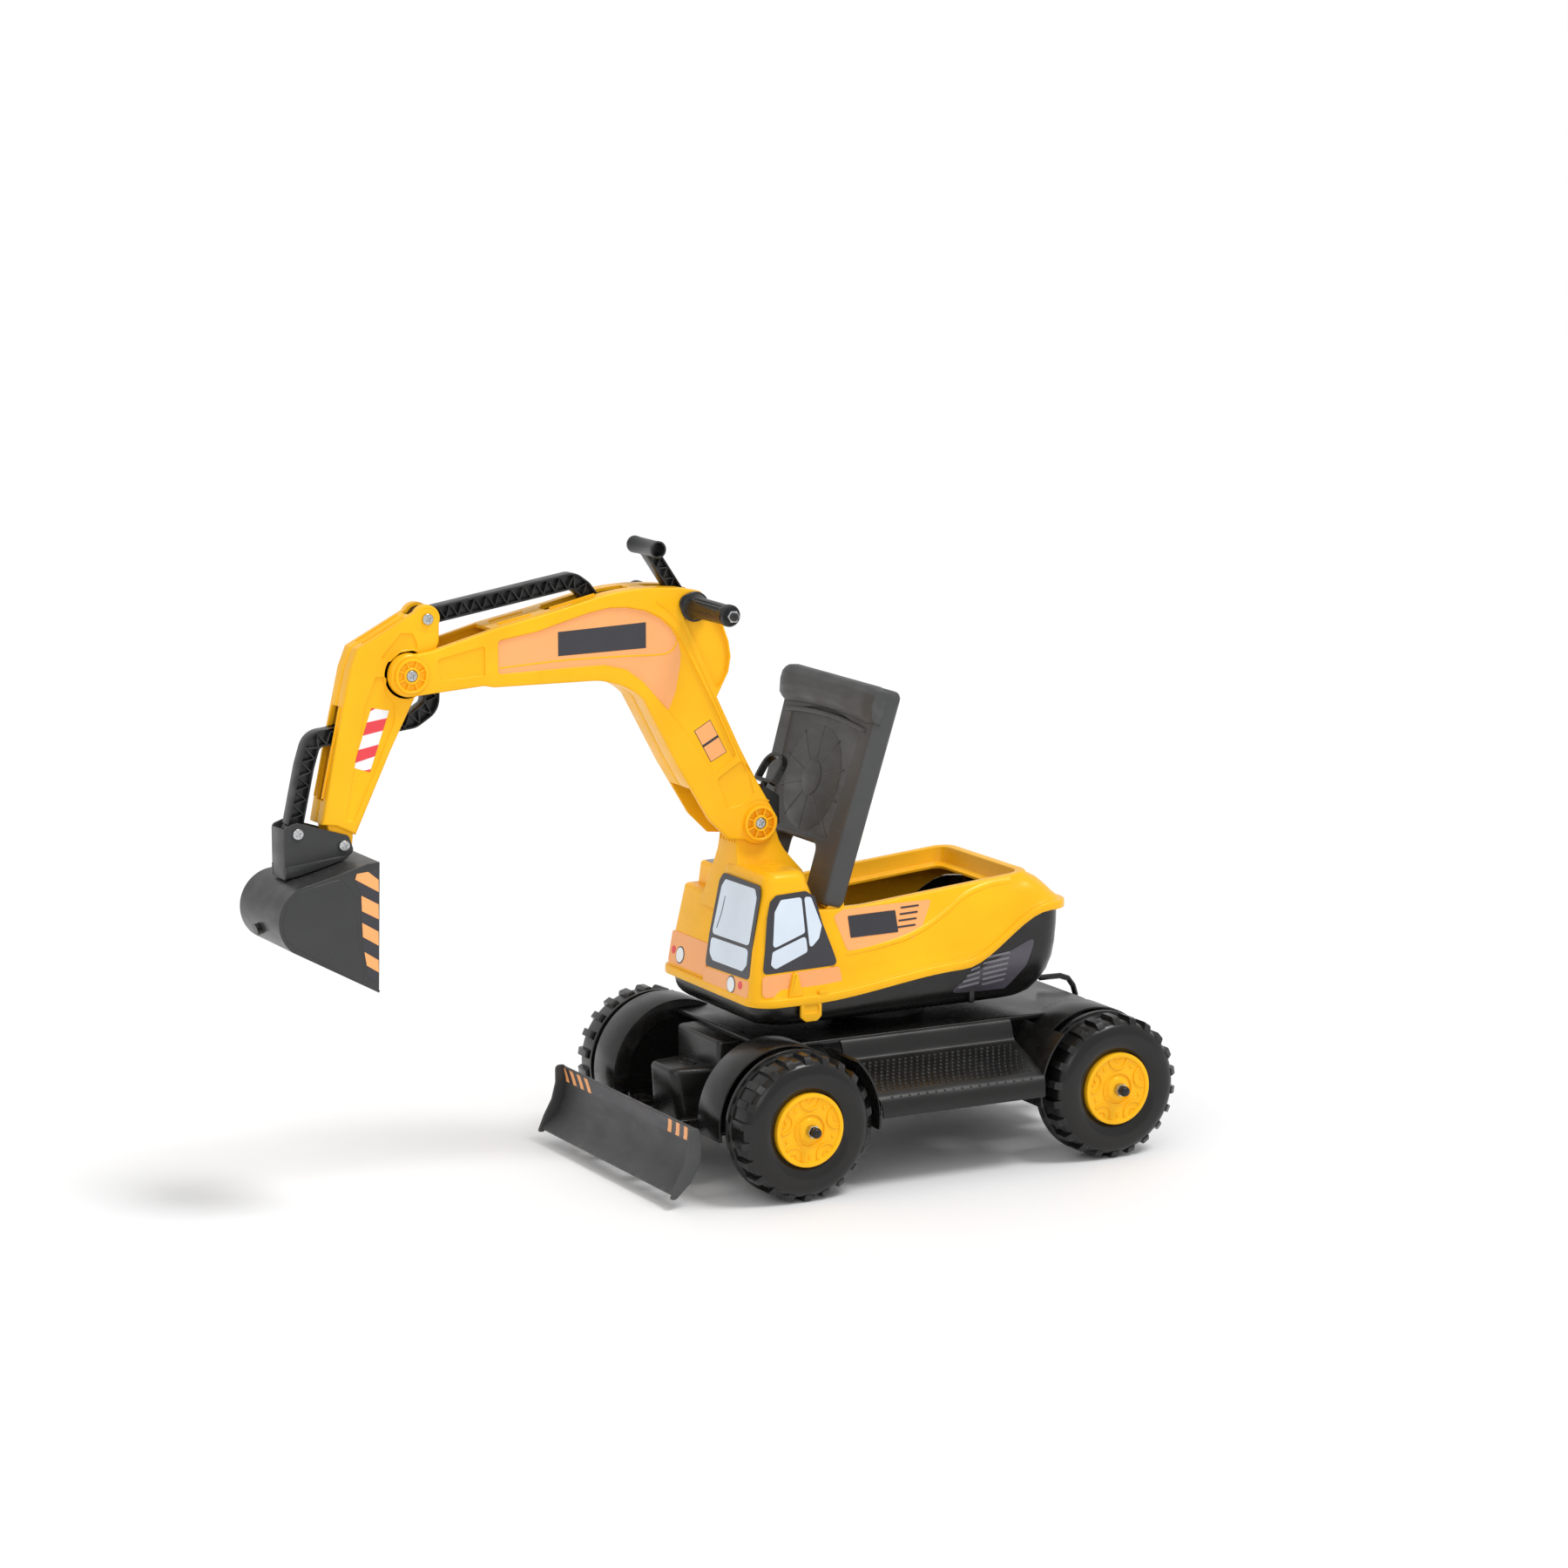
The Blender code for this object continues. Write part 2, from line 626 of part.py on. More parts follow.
def lower_tub():
    """Black bowl under the body, its top edge following the seam."""
    def level(share):
        return lambda y: TUB_FLOOR_Z + (split_z(y) - GAP - TUB_FLOOR_Z) * share

    rows = ((1.0, 0.0, 0.030), (0.62, 0.001, 0.030), (0.30, 0.005, 0.030), (0.08, 0.014, 0.032),
            (0.0, 0.028, 0.034))
    rings = [body_ring(0.1150 - shrink, BODY_FRONT + 0.002 + shrink,
                       BODY_REAR - 0.010 - 2.0 * shrink, corner, level(share))
             for share, shrink, corner in rows]
    tub = close_flat(loft("lower_tub", rings[::-1], closed=False), TUB_FLOOR_Z)
    hollow(tub, SHELL)
    hub = cylinder("swivel_hub", 0.026, (0, PIVOT_Y, TUB_FLOOR_Z + 0.0005),
                   (0, PIVOT_Y, TUB_FLOOR_Z + 0.008), 24)
    bore = cylinder("swivel_bore", 0.0056, (0, PIVOT_Y, 0.15), (0, PIVOT_Y, 0.22), 16)
    return cut(join(tub, hub), bore)


def upper_shell():
    """Yellow shell: flange, walls, seat rim, cab, engine box and the boom tower."""
    flange_top = 0.010

    def above(amount):
        return lambda y: split_z(y) + amount

    def middle(share):
        return lambda y: (split_z(y) + flange_top) * (1 - share) + rim_z(y) * share

    def rim(drop):
        return lambda y: rim_z(y) - drop

    rings = [
        body_ring(FLANGE_HALF, BODY_FRONT - 0.0065, BODY_REAR + 0.012, 0.030, above(GAP)),
        body_ring(FLANGE_HALF, BODY_FRONT - 0.0065, BODY_REAR + 0.012, 0.030, above(flange_top - 0.001)),
        body_ring(BODY_HALF, BODY_FRONT, BODY_REAR + 0.005, 0.027, above(flange_top)),
        body_ring(0.1100, BODY_FRONT + 0.001, 0.3700, 0.027, middle(0.45)),
        body_ring(RIM_HALF + 0.001, BODY_FRONT + 0.002, 0.3500, 0.022, rim(0.002)),
        body_ring(RIM_HALF, BODY_FRONT + 0.003, 0.3485, 0.021, rim(0.0)),
        body_ring(RIM_HALF - 0.008, 0.0, 0.3400, 0.016, rim(0.0)),
        body_ring(RIM_HALF - 0.010, 0.002, 0.3380, 0.015, rim(0.018)),
        body_ring(RIM_HALF - 0.022, 0.014, 0.3260, 0.012, rim(0.019)),
    ]
    shell = hollow(loft("upper_shell", rings, closed=False), SHELL)
    outer = [
        loft("front_deck", [rectangle((-0.092, 0.092), (-0.008, 0.088), z) for z in (0.2860, 0.2985)]),
        round_edges(loft("cab", [
            rectangle((-0.012, 0.1150), (-0.0185, 0.0960), 0.205),
            rectangle((-0.010, 0.1135), (-0.0120, 0.0850), 0.262),
            rectangle((-0.004, 0.1060), (0.0030, 0.0570), 0.347),
        ]), 0.012, 2, 50),
        round_edges(loft("engine_box", [
            rectangle((-0.1080, -0.008), (-0.0150, 0.110), 0.205),
            rectangle((-0.1000, -0.008), (0.0030, 0.082), 0.303),
        ]), 0.006, 2, 50),
        round_edges(loft("engine_top", [
            rectangle((-0.0960, -0.008), (0.0180, 0.071), 0.295),
            rectangle((-0.0900, -0.008), (0.0190, 0.068), 0.329),
        ]), 0.006, 2, 50),
        round_edges(loft("tower_foot", [
            rectangle((-0.0455, 0.0455), (-0.004, 0.096), 0.290),
            rectangle((-0.032, 0.032), (0.0060, 0.086), 0.336),
            rectangle((-TOWER_HALF, TOWER_HALF), (0.0090, 0.064), 0.366),
            rectangle((-TOWER_HALF, TOWER_HALF), (0.0125, 0.0555), 0.392),
        ]), 0.004, 2, 50),
        cylinder("tower_head", 0.0215, (-TOWER_HALF, *BOOM_PIVOT), (TOWER_HALF, *BOOM_PIVOT), 24),
    ]
    inner = [
        loft("cab_room", [
            rectangle((-0.009, 0.0840), (-0.0065, 0.0860), 0.190),
            rectangle((-0.007, 0.0840), (-0.0065, 0.0790), 0.262),
            rectangle((-0.001, 0.0840), (0.0062, 0.0535), 0.3438),
        ]),
        loft("engine_room", [
            rectangle((-0.0840, -0.005), (-0.0065, 0.080), 0.190),
            rectangle((-0.0840, -0.005), (0.0062, 0.080), 0.299),
        ]),
        loft("engine_top_room", [
            rectangle((-0.0820, -0.011), (0.0210, 0.066), 0.280),
            rectangle((-0.0820, -0.011), (0.0221, 0.064), 0.3258),
        ]),
        loft("tower_room", [
            rectangle((-0.028, 0.028), (0.0100, 0.078), 0.270),
            rectangle((-TOWER_HALF + 0.004, TOWER_HALF - 0.004), (0.0130, 0.058), 0.362),
        ]),
    ]
    blocks = cut(baked(join(outer[0], *outer[1:])), *inner)
    room = loft("block_room", [rectangle((-0.0835, 0.0835), (-0.0055, 0.0855), z) for z in (0.19, 0.2955)])
    join(shell, baked(cut(blocks, room)))
    ears = []
    for side in SIDES.values():
        for near, far in ((0.0465, 0.0530), (0.0885, 0.0940)):
            low, high = sorted((side * near, side * far))
            ears.append(box("seat_ear", (low, 0.0840, 0.2870), (high, 0.1065, 0.3070), 0.003, 1))
        low, high = sorted((side * 0.1180, side * 0.1222))
        ears.append(box("snap_clip", (low, 0.0370, 0.1800), (high, 0.0630, 0.2020), 0.001, 1))
    join(shell, *ears)
    return cut(shell, hole_x(BOOM_PIVOT, BOLT_RADIUS + PIN_PLAY, 0.05),
               hole_x(SEAT_HINGE, 0.0033, 0.12, 12))


# ---------------------------------------------------------------- swivel pieces
def swivel_pieces():
    """Bolt and head are fixed to the chassis; ring, nut and cover are above it."""
    up = (0, PIVOT_Y)
    ring = cylinder("turntable_ring", 0.050, (*up, TURNTABLE_Z + GAP), (*up, TUB_FLOOR_Z - GAP), 32)
    cut(ring, cylinder("ring_bore", 0.030, (*up, 0.15), (*up, 0.18), 24))
    bolt = cylinder("swivel_bolt", 0.0050, (*up, 0.1420), (*up, 0.1920), 16)
    join(bolt, cylinder("bolt_head", 0.0095, (*up, 0.1395), (*up, 0.1457), 6))
    nut = cylinder("swivel_nut", 0.0095, (*up, 0.1803), (*up, 0.1885), 6)
    cut(nut, cylinder("nut_bore", 0.0053, (*up, 0.17), (*up, 0.20), 16))
    cover_top = 0.2650
    steps = 28
    angles = [2 * math.pi * i / steps for i in range(steps)]
    rings = [[(r * math.cos(a), PIVOT_Y + r * math.sin(a), z) for a in angles]
             for r, z in ((0.0470, 0.1750), (0.0450, 0.2560), (0.0430, 0.2620), (0.0300, cover_top))]
    cover = close_flat(loft("swivel_cover", rings, closed=False), cover_top)
    hollow(cover, SHELL)
    return ring, bolt, nut, cover


# ---------------------------------------------------------------- swivel lock
def lock_point(distance):
    """A point on the leaning slide axis, `distance` above the foot."""
    lean = math.radians(LOCK_LEAN)
    return (0.0, LOCK_FOOT[0] + distance * math.sin(lean), LOCK_FOOT[1] + distance * math.cos(lean))


def lock_guide():
    """Block against the tower head that the pull handle slides in."""
    outline = arc(BOOM_PIVOT, 0.0223, 72, 15, 4)
    outline += [(0.0588, 0.3920), (0.0600, 0.3840), (0.0670, 0.3840), (0.0670, 0.4160), (0.0458, 0.4298)]
    block = slab("lock_guide", outline, -0.015, 0.015)
    return cut(block, cylinder("stem_slot", 0.0045, lock_point(0.0060), lock_point(0.06), 12))


def lock_handle():
    """Flat ring on a short stem."""
    outline = arc((0.0040, 0.0390), 0.0180, 0, 90, 5)
    outline += arc((-0.0040, 0.0390), 0.0180, 90, 180, 5)
    outline += arc((-0.0160, 0.0260), 0.0060, 180, 270, 2)
    outline += arc((0.0160, 0.0260), 0.0060, 270, 360, 2)
    lean = math.radians(LOCK_LEAN)
    facing = Matrix(((1, 0, 0, 0), (0, math.sin(lean), -math.cos(lean), LOCK_FOOT[0]),
                     (0, math.cos(lean), math.sin(lean), LOCK_FOOT[1]), (0, 0, 0, 1)))
    ring = slab("lock_handle", outline, -0.0040, 0.0040, facing)
    opening = slab("finger_hole", inset(outline, 0.0046), -0.02, 0.02, facing)
    stem = cylinder("stem", 0.0036, lock_point(0.0072), lock_point(0.0228), 12)
    return join(cut(ring, opening), stem)


# ---------------------------------------------------------------- seat
def seat_lid():
    """Lid drawn level with its hinge at the machine's hinge point, then turned open."""
    y0, z0 = SEAT_HINGE
    top = z0 + 0.0225
    skirt = z0 - 0.0040
    front, rear = y0 - 0.004, y0 + SEAT_LENGTH

    def outline(margin, z):
        return [(-0.0985 + margin, front + margin, z), (0.0985 - margin, front + margin, z),
                (0.1080 - margin, rear - margin, z), (-0.1080 + margin, rear - margin, z)]

    lid = round_edges(loft("seat_lid", [outline(0.0, skirt), outline(0.003, top)]), 0.008, 3)
    lip = round_edges(box("back_lip", (-0.1085, rear - 0.036, top - 0.010),
                          (0.1085, rear + 0.0010, top + 0.0145)), 0.009, 3)
    room = loft("lid_room", [outline(0.0028, skirt - 0.01), outline(0.0055, top - 0.0028)])
    notch = box("front_notch", (-0.0475, front - 0.01, skirt - 0.01), (0.0475, y0 + 0.058, top + 0.01))
    join(lid, lip)
    cut(lid, room, notch)
    knuckles = []
    for side in SIDES.values():
        low, high = sorted((side * 0.0545, side * 0.0840))
        knuckles.append(cylinder("knuckle", 0.0060, (low, y0, z0), (high, y0, z0), 16))
        for x in (low, high - WALL):
            knuckles.append(box("knuckle_web", (x, y0 - 0.0015, z0), (x + WALL, y0 + 0.010, top - 0.002)))
    join(lid, *knuckles)
    ears_room = []
    for side in SIDES.values():
        for near, far in ((0.0450, 0.0540), (0.0875, 0.0955)):
            low, high = sorted((side * near, side * far))
            ears_room.append(box("ear_room", (low, front - 0.01, skirt - 0.02),
                                 (high, y0 + 0.011, top - 0.0028)))
    front_room = box("front_room", (-0.0955, front - 0.01, skirt - 0.02), (0.0955, y0 - 0.0070, z0 + 0.0135))
    cut(lid, *ears_room, front_room, hole_x(SEAT_HINGE, 0.0033, 0.12, 12))
    return lid


def seat_pins():
    pins = []
    for side, sign in SIDES.items():
        ends = [(sign * x, *SEAT_HINGE) for x in (0.0470, 0.0935)]
        pins.append(cylinder(f"seat_pin_{side}", 0.0030, ends[0], ends[1], 12))
    return pins


# ---------------------------------------------------------------- boom
def boom_outline():
    """Side view of the boom, counter-clockwise from the foot of its front edge."""
    outline = [(-0.067, 0.462), (-0.028, 0.398), (-0.004, 0.3745)]
    outline += arc(BOOM_PIVOT, 0.0240, 225, 370, 6)
    outline += [(0.031, 0.439), (0.012, 0.474), (-0.018, 0.536), (-0.0035, 0.563),
                (-0.0005, 0.586), (-0.010, 0.616), (-0.026, 0.640), (-0.038, 0.655)]
    outline += [(-0.062, 0.660), (-0.114, 0.6625), (-0.151, 0.659), (-0.214, 0.645), (-0.284, 0.631),
                (-0.297, 0.6275), (-0.361, 0.6110)]
    outline += arc(ELBOW, 0.0235, 70, 270, 8)
    outline += [(-0.290, 0.5680), (-0.165, 0.5645), (-0.138, 0.558), (-0.109, 0.540)]
    return outline


def boom_half(side):
    """Half shell: side plate, rim wall, pivot bosses and the slots for the levers."""
    name = "boom_" + side
    sign = SIDES[side]

    def spread(near, far):
        return sorted((sign * near, sign * far))

    outline = boom_outline()
    half = padded(name, outline, sign * GAP / 2, sign * BOOM_HALF, 0.0022)
    pocket = slab("pocket", inset(outline, 0.0032), *spread(-0.001, BOOM_HALF - 0.0028))
    cut(half, pocket)
    bosses = [cylinder("pivot_boss", 0.0195, (sign * (TOWER_HALF - 0.0015), *BOOM_PIVOT),
                       (sign * BOSS_FACE, *BOOM_PIVOT), 18),
              cylinder("elbow_boss", 0.0187, (sign * (DIPPER_HALF - 0.0015), *ELBOW),
                       (sign * BOSS_FACE, *ELBOW), 18),
              cylinder("anchor_boss", 0.0062, (sign * (DIPPER_HALF - 0.0012), *ANCHOR),
                       (sign * (BOOM_HALF - 0.001), *ANCHOR), 14),
              cylinder("grip_boss", 0.0130, (sign * 0.0110, *GRIP), (sign * (BOOM_HALF - 0.001), *GRIP), 16)]
    join(half, *bosses)
    tip_room = box("tip_room", (spread(-0.001, 0.0205)[0], -0.425, 0.54),
                   (spread(-0.001, 0.0205)[1], -0.318, 0.68))
    tip_top = box("tip_top", (spread(-0.001, 0.0205)[0], -0.330, 0.600),
                  (spread(-0.001, 0.0205)[1], -0.288, 0.68))
    base_room = box("base_room", (spread(-0.001, TOWER_HALF + 0.001)[0], -0.060, 0.34),
                    (spread(-0.001, TOWER_HALF + 0.001)[1], 0.075, 0.4350))
    rod_slot = box("rod_slot", (spread(-0.001, 0.0100)[0], -0.2180, 0.630),
                   (spread(-0.001, 0.0100)[1], -0.118, 0.70))
    lever_slot = box("lever_slot", (spread(-0.001, 0.0100)[0], -0.098, 0.6300),
                     (spread(-0.001, 0.0100)[1], -0.0235, 0.70))
    cut(half, tip_room, tip_top, base_room, rod_slot, lever_slot)
    for place in (BOOM_PIVOT, ELBOW):
        cut(half, cylinder("head_recess", HEAD_RADIUS + 0.0008,
                           (sign * (BOSS_FACE - HEAD_HEIGHT - 0.001), *place),
                           (sign * 0.05, *place), 16))
        cut(half, hole_x(place, BOLT_RADIUS + PIN_PLAY, 0.06, 14))
    return cut(half, hole_x(ANCHOR, 0.0033, 0.0255, 12), hole_x(GRIP, AXLE_RADIUS + PIN_PLAY, 0.06, 14))


def handgrip(side):
    """Fluted tube with a flange against the boom."""
    sign = SIDES[side]
    start = BOOM_HALF + GAP
    profile = [(0.0045, 0.0), (0.0195, 0.0), (0.0195, 0.0035), (0.0135, 0.0060), (0.0118, 0.0100),
               (0.0112, 0.0780), (0.0122, 0.0800), (0.0122, 0.0860), (0.0095, 0.0870),
               (0.0095, 0.0850), (0.0045, 0.0850)]
    return turned("handgrip_" + side, profile, (sign * start, *GRIP), sign, 16)


def grip_rod_and_nuts():
    end = BOOM_HALF + GAP + 0.0905
    rod = cylinder("grip_rod", AXLE_RADIUS, (-end, *GRIP), (end, *GRIP), 14)
    pieces = [rod]
    for side, sign in SIDES.items():
        near = BOOM_HALF + GAP + 0.0853
        nut = cylinder("grip_nut_" + side, 0.0070, (sign * near, *GRIP), (sign * (end + 0.0040), *GRIP), 6)
        cut(nut, cylinder("nut_bore", AXLE_RADIUS + PIN_PLAY, (0, *GRIP), (sign * (end + GAP), *GRIP), 14))
        pieces.append(nut)
    return pieces


def lever_and_pin():
    """Control lever on the grip rod: T-grip above the boom and a crank below it."""
    arm = slab("control_lever", ribbon([T_GRIP, GRIP], 0.0150), -LINK_HALF, LINK_HALF)
    hub = cylinder("lever_hub", 0.0095, (-LINK_HALF, *GRIP), (LINK_HALF, *GRIP), 16)
    crank = slab("crank", ribbon([GRIP, CRANK_PIN], 0.0120), -LINK_HALF, LINK_HALF)
    eye = cylinder("crank_eye", 0.0080, (-LINK_HALF, *CRANK_PIN), (LINK_HALF, *CRANK_PIN), 14)
    grip = cylinder("t_grip", 0.0095, (-0.0300, *T_GRIP), (0.0300, *T_GRIP), 18)
    fork = box("crank_fork", (-0.0053, -0.1000, 0.5400), (0.0053, -0.0450, 0.5790))
    join(arm, hub, crank, eye, grip)
    cut(arm, fork, hole_x(GRIP, AXLE_RADIUS + PIN_PLAY, 0.05, 14))
    for sign in SIDES.values():
        cut(arm, cylinder("grip_socket", 0.0072, (sign * 0.0180, *T_GRIP), (sign * 0.04, *T_GRIP), 14))
    pin = cylinder("crank_pin", 0.0025, (-LINK_HALF, *CRANK_PIN), (LINK_HALF, *CRANK_PIN), 12)
    cut(arm, hole_x(CRANK_PIN, 0.0028, 0.05, 12))
    return arm, pin


def control_rod():
    """Cranked bar from the dipper's top down into the boom."""
    path = [ROD_PIN, (-0.1830, 0.6735), (-0.1745, 0.6690), (-0.1350, 0.6170), (-0.1080, 0.5810),
            (-0.0990, 0.5738)]
    outline = ribbon(path, 0.0180)
    rod = round_edges(slab("control_rod", outline, -LINK_HALF, LINK_HALF), 0.0015, 1, 60)
    eye = cylinder("rod_eye", 0.0105, (-LINK_HALF, *ROD_PIN), (LINK_HALF, *ROD_PIN), 18)
    tongue = slab("rod_tongue", ribbon([(-0.1120, 0.5840), CRANK_PIN], 0.0150), -0.0047, 0.0047)
    end = cylinder("tongue_end", 0.0100, (-0.0046, *CRANK_PIN), (0.0046, *CRANK_PIN), 16)
    join(rod, eye, tongue, end)
    cut(rod, hole_x(ROD_PIN, BOLT_RADIUS + PIN_PLAY, 0.05, 14), hole_x(CRANK_PIN, ROD_EYE_RADIUS, 0.05, 16))
    return rod


# ---------------------------------------------------------------- dipper
def dipper_outline():
    outline = [(-0.4860, 0.4320), (-0.4700, 0.4290), (-0.4480, 0.4180), (-0.4050, 0.5080)]
    outline += [(-0.3760, 0.5630), (-0.3600, 0.5870), (-0.3480, 0.6200)]
    outline += arc(ROD_PIN, 0.0150, -15, 150, 7)
    outline += [(-0.4420, 0.6180), (-0.4510, 0.5960), (-0.4700, 0.5130)]
    return outline


def dipper_half(side):
    name = "dipper_" + side
    sign = SIDES[side]

    def spread(near, far):
        return sorted((sign * near, sign * far))

    outline = dipper_outline()
    half = padded(name, outline, sign * GAP / 2, sign * DIPPER_HALF, 0.0020)
    cut(half, slab("pocket", inset(outline, 0.0030), *spread(-0.001, DIPPER_HALF - 0.0028)))
    tongue = slab("tongue", rounded([(-0.4800, 0.4360), (-0.4735, 0.4040), (-0.4620, 0.3970),
                                     (-0.4510, 0.4040), (-0.4480, 0.4300)], 0.006),
                  *spread(GAP / 2, 0.0145))
    elbow = cylinder("elbow_core", 0.0125, (sign * GAP / 2, *ELBOW),
                     (sign * (DIPPER_HALF - 0.001), *ELBOW), 18)
    rod_core = cylinder("rod_core", 0.0120, (sign * (LINK_HALF + 0.0006), *ROD_PIN),
                        (sign * (DIPPER_HALF - 0.001), *ROD_PIN), 18)
    join(half, tongue, elbow, rod_core)
    clear = spread(-0.001, LINK_HALF + 0.0006)
    rod_room = box("rod_room", (clear[0], -0.3800, 0.6290), (clear[1], -0.320, 0.68))
    front_slot = box("front_slot", (clear[0], -0.500, 0.4560), (clear[1], -0.452, 0.5560))
    rear_slot = box("rear_slot", (clear[0], -0.428, 0.5000), (clear[1], -0.360, 0.5700))
    cut(half, rod_room, front_slot, rear_slot)
    for place in (ELBOW, ROD_PIN, BUCKET_PIN):
        cut(half, hole_x(place, BOLT_RADIUS + PIN_PLAY, 0.05, 14))
    return half


# ---------------------------------------------------------------- bucket
def bucket_link():
    """Cranked bar from the boom tip through the dipper to the bucket's rear ear."""
    path = [(-0.3520, 0.5860), (-0.3530, 0.5550), (-0.3590, 0.5430), (-0.3740, 0.5350),
            (-0.4470, 0.5270), (-0.4820, 0.5235), (-0.4930, 0.5120), (-0.4970, 0.5000), LINK_PIN]
    link = round_edges(slab("bucket_link", ribbon(path, 0.0180), -LINK_HALF, LINK_HALF), 0.0015, 1, 60)
    eye = cylinder("link_eye", 0.0095, (-LINK_HALF, *LINK_PIN), (LINK_HALF, *LINK_PIN), 16)
    join(link, eye)
    return cut(link, hole_x(LINK_PIN, BOLT_RADIUS + PIN_PLAY, 0.05, 14),
               hole_x(ANCHOR, LINK_EYE_RADIUS, 0.05, 16))


def bucket_outline():
    outline = [(-0.4370, 0.3940), (-0.4510, 0.3940), (-0.4840, 0.3850), (-0.5120, 0.3780)]
    outline += arc((-0.5130, 0.3370), 0.0400, 95, 232, 9)
    outline += [(-0.4400, 0.2520)]
    return outline


def bucket_shell():
    outline = bucket_outline()
    shell = slab("bucket_shell", outline, -BUCKET_HALF, BUCKET_HALF)
    round_edges(shell, 0.003, 2, 60)
    room = inset(outline, 0.0027)
    room[0] = (-0.425, 0.3913)
    room[-1] = (-0.425, 0.2490)
    inner = slab("bucket_room", room, -BUCKET_HALF + 0.0027, BUCKET_HALF - 0.0027)
    plug_hole = cylinder("plug_hole", 0.0070, (-0.004, -0.5600, 0.3200), (-0.004, -0.5400, 0.3250), 16)
    return cut(shell, inner, plug_hole)


def bucket_bracket():
    """Two ears on a saddle that sits on the bucket's top."""
    ear = rounded([(-0.5300, 0.3855), (-0.4590, 0.3935), (-0.4500, 0.4010), (-0.4560, 0.4180),
                   (-0.5150, 0.4370), (-0.5300, 0.4320)], 0.005)
    bracket = slab("bucket_bracket", ear, -BRACKET_HALF, BRACKET_HALF)
    room = slab("bracket_room", [(-0.5270, 0.3880), (-0.4640, 0.3942), (-0.4480, 0.3975), (-0.4360, 0.3975),
                                    (-0.4360, 0.4500), (-0.5270, 0.4500)],
                -BRACKET_HALF + EAR, BRACKET_HALF - EAR)
    under = slab("bucket_top", [(y, z + 0.0003) for y, z in bucket_outline()], -0.06, 0.06)
    cut(bracket, room, under)
    for place in (BUCKET_PIN, LINK_PIN):
        cut(bracket, hole_x(place, BOLT_RADIUS + PIN_PLAY, 0.05, 14))
    return bracket


def bucket_plug():
    start, end = Vector((-0.004, -0.5560, 0.3210)), Vector((-0.004, -0.5480, 0.3230))
    return cylinder("bucket_plug", 0.0066, start, end, 16)


def bolt_and_nut(name, place, face):
    """Pan-head bolt from the left and a domed sleeve nut on the right."""
    bolt = cylinder(name + "_bolt", BOLT_RADIUS, (-(face - 0.0008), *place), (face + 0.0005, *place), 14)
    join(bolt, cylinder("head", HEAD_RADIUS, (face + GAP, *place), (face + GAP + HEAD_HEIGHT, *place), 16))
    nut = cylinder(name + "_nut", HEAD_RADIUS, (-face - GAP, *place), (-face - GAP - HEAD_HEIGHT, *place), 16)
    return [finish(bolt, STEEL), finish(nut, STEEL)]


# ---------------------------------------------------------------- assembly
def build():
    running_gear()
    hang([finish(chassis(), BLACK), finish(dozer_blade(), GREY)])
    ring, bolt, nut, cover = swivel_pieces()
    hang([finish(ring, GREY), finish(bolt, STEEL)])
    tow_place = (0, HITCH_Y, 0.1343)
    hang([finish(hitch_pin(), BLACK)], joint_axis("hitch_axis", tow_place), tow_place)

    swivel_place = (0, PIVOT_Y, TUB_FLOOR_Z)
    swivel = joint_axis("swivel_axis", swivel_place)
    body = [finish(lower_tub(), BLACK), finish(upper_shell(), YELLOW), finish(nut, STEEL),
            finish(cover, BLACK), finish(lock_guide(), BLACK)]
    body += [finish(pin, STEEL) for pin in seat_pins()]
    hang(body, swivel, swivel_place)
    lock_place = lock_point(0.0)
    lock = joint_axis("lock_axis", lock_place, swivel, swivel_place)
    hang([finish(lock_handle(), BLACK)], lock, lock_place)
    seat_place = (0, *SEAT_HINGE)
    seat = joint_axis("seat_axis", seat_place, swivel, swivel_place)
    seat.rotation_euler = (math.radians(SEAT_OPEN), 0, 0)
    hang([finish(seat_lid(), GREY)], seat, seat_place)

    boom_place = (0, *BOOM_PIVOT)
    boom = joint_axis("boom_axis", boom_place, swivel, swivel_place)
    arm = []
    for side in SIDES:
        arm += [finish(boom_half(side), YELLOW), finish(handgrip(side), BLACK)]
    arm += [finish(piece, STEEL) for piece in grip_rod_and_nuts()]
    recess = BOSS_FACE - HEAD_HEIGHT - 0.001
    arm += bolt_and_nut("elbow", ELBOW, recess)
    arm += bolt_and_nut("boom_pivot", BOOM_PIVOT, recess)
    anchor = cylinder("link_anchor_pin", 0.0030, (-0.0250, *ANCHOR), (0.0250, *ANCHOR), 12)
    arm.append(finish(anchor, STEEL))
    hang(arm, boom, boom_place)

    lever_place = (0, *GRIP)
    lever_empty = joint_axis("lever_axis", lever_place, boom, boom_place)
    lever, pin = lever_and_pin()
    hang([finish(lever, BLACK), finish(pin, STEEL)], lever_empty, lever_place)

    dipper_place = (0, *ELBOW)
    dipper = joint_axis("dipper_axis", dipper_place, boom, boom_place)
    halves = [finish(dipper_half(side), YELLOW) for side in SIDES]
    hang(halves + bolt_and_nut("rod", ROD_PIN, DIPPER_HALF), dipper, dipper_place)
    rod_place = (0, *ROD_PIN)
    hang([finish(control_rod(), BLACK)], joint_axis("rod_axis", rod_place, dipper, dipper_place), rod_place)

    bucket_place = (0, *BUCKET_PIN)
    bucket = joint_axis("bucket_axis", bucket_place, dipper, dipper_place)
    scoop = [finish(bucket_shell(), BLACK), finish(bucket_bracket(), BLACK), finish(bucket_plug(), BLACK)]
    scoop += bolt_and_nut("bucket", BUCKET_PIN, BRACKET_HALF)
    scoop += bolt_and_nut("link", LINK_PIN, BRACKET_HALF)
    hang(scoop, bucket, bucket_place)
    link_place = (0, *LINK_PIN)
    link = joint_axis("link_axis", link_place, bucket, bucket_place)
    hang([finish(bucket_link(), BLACK)], link, link_place)


build()
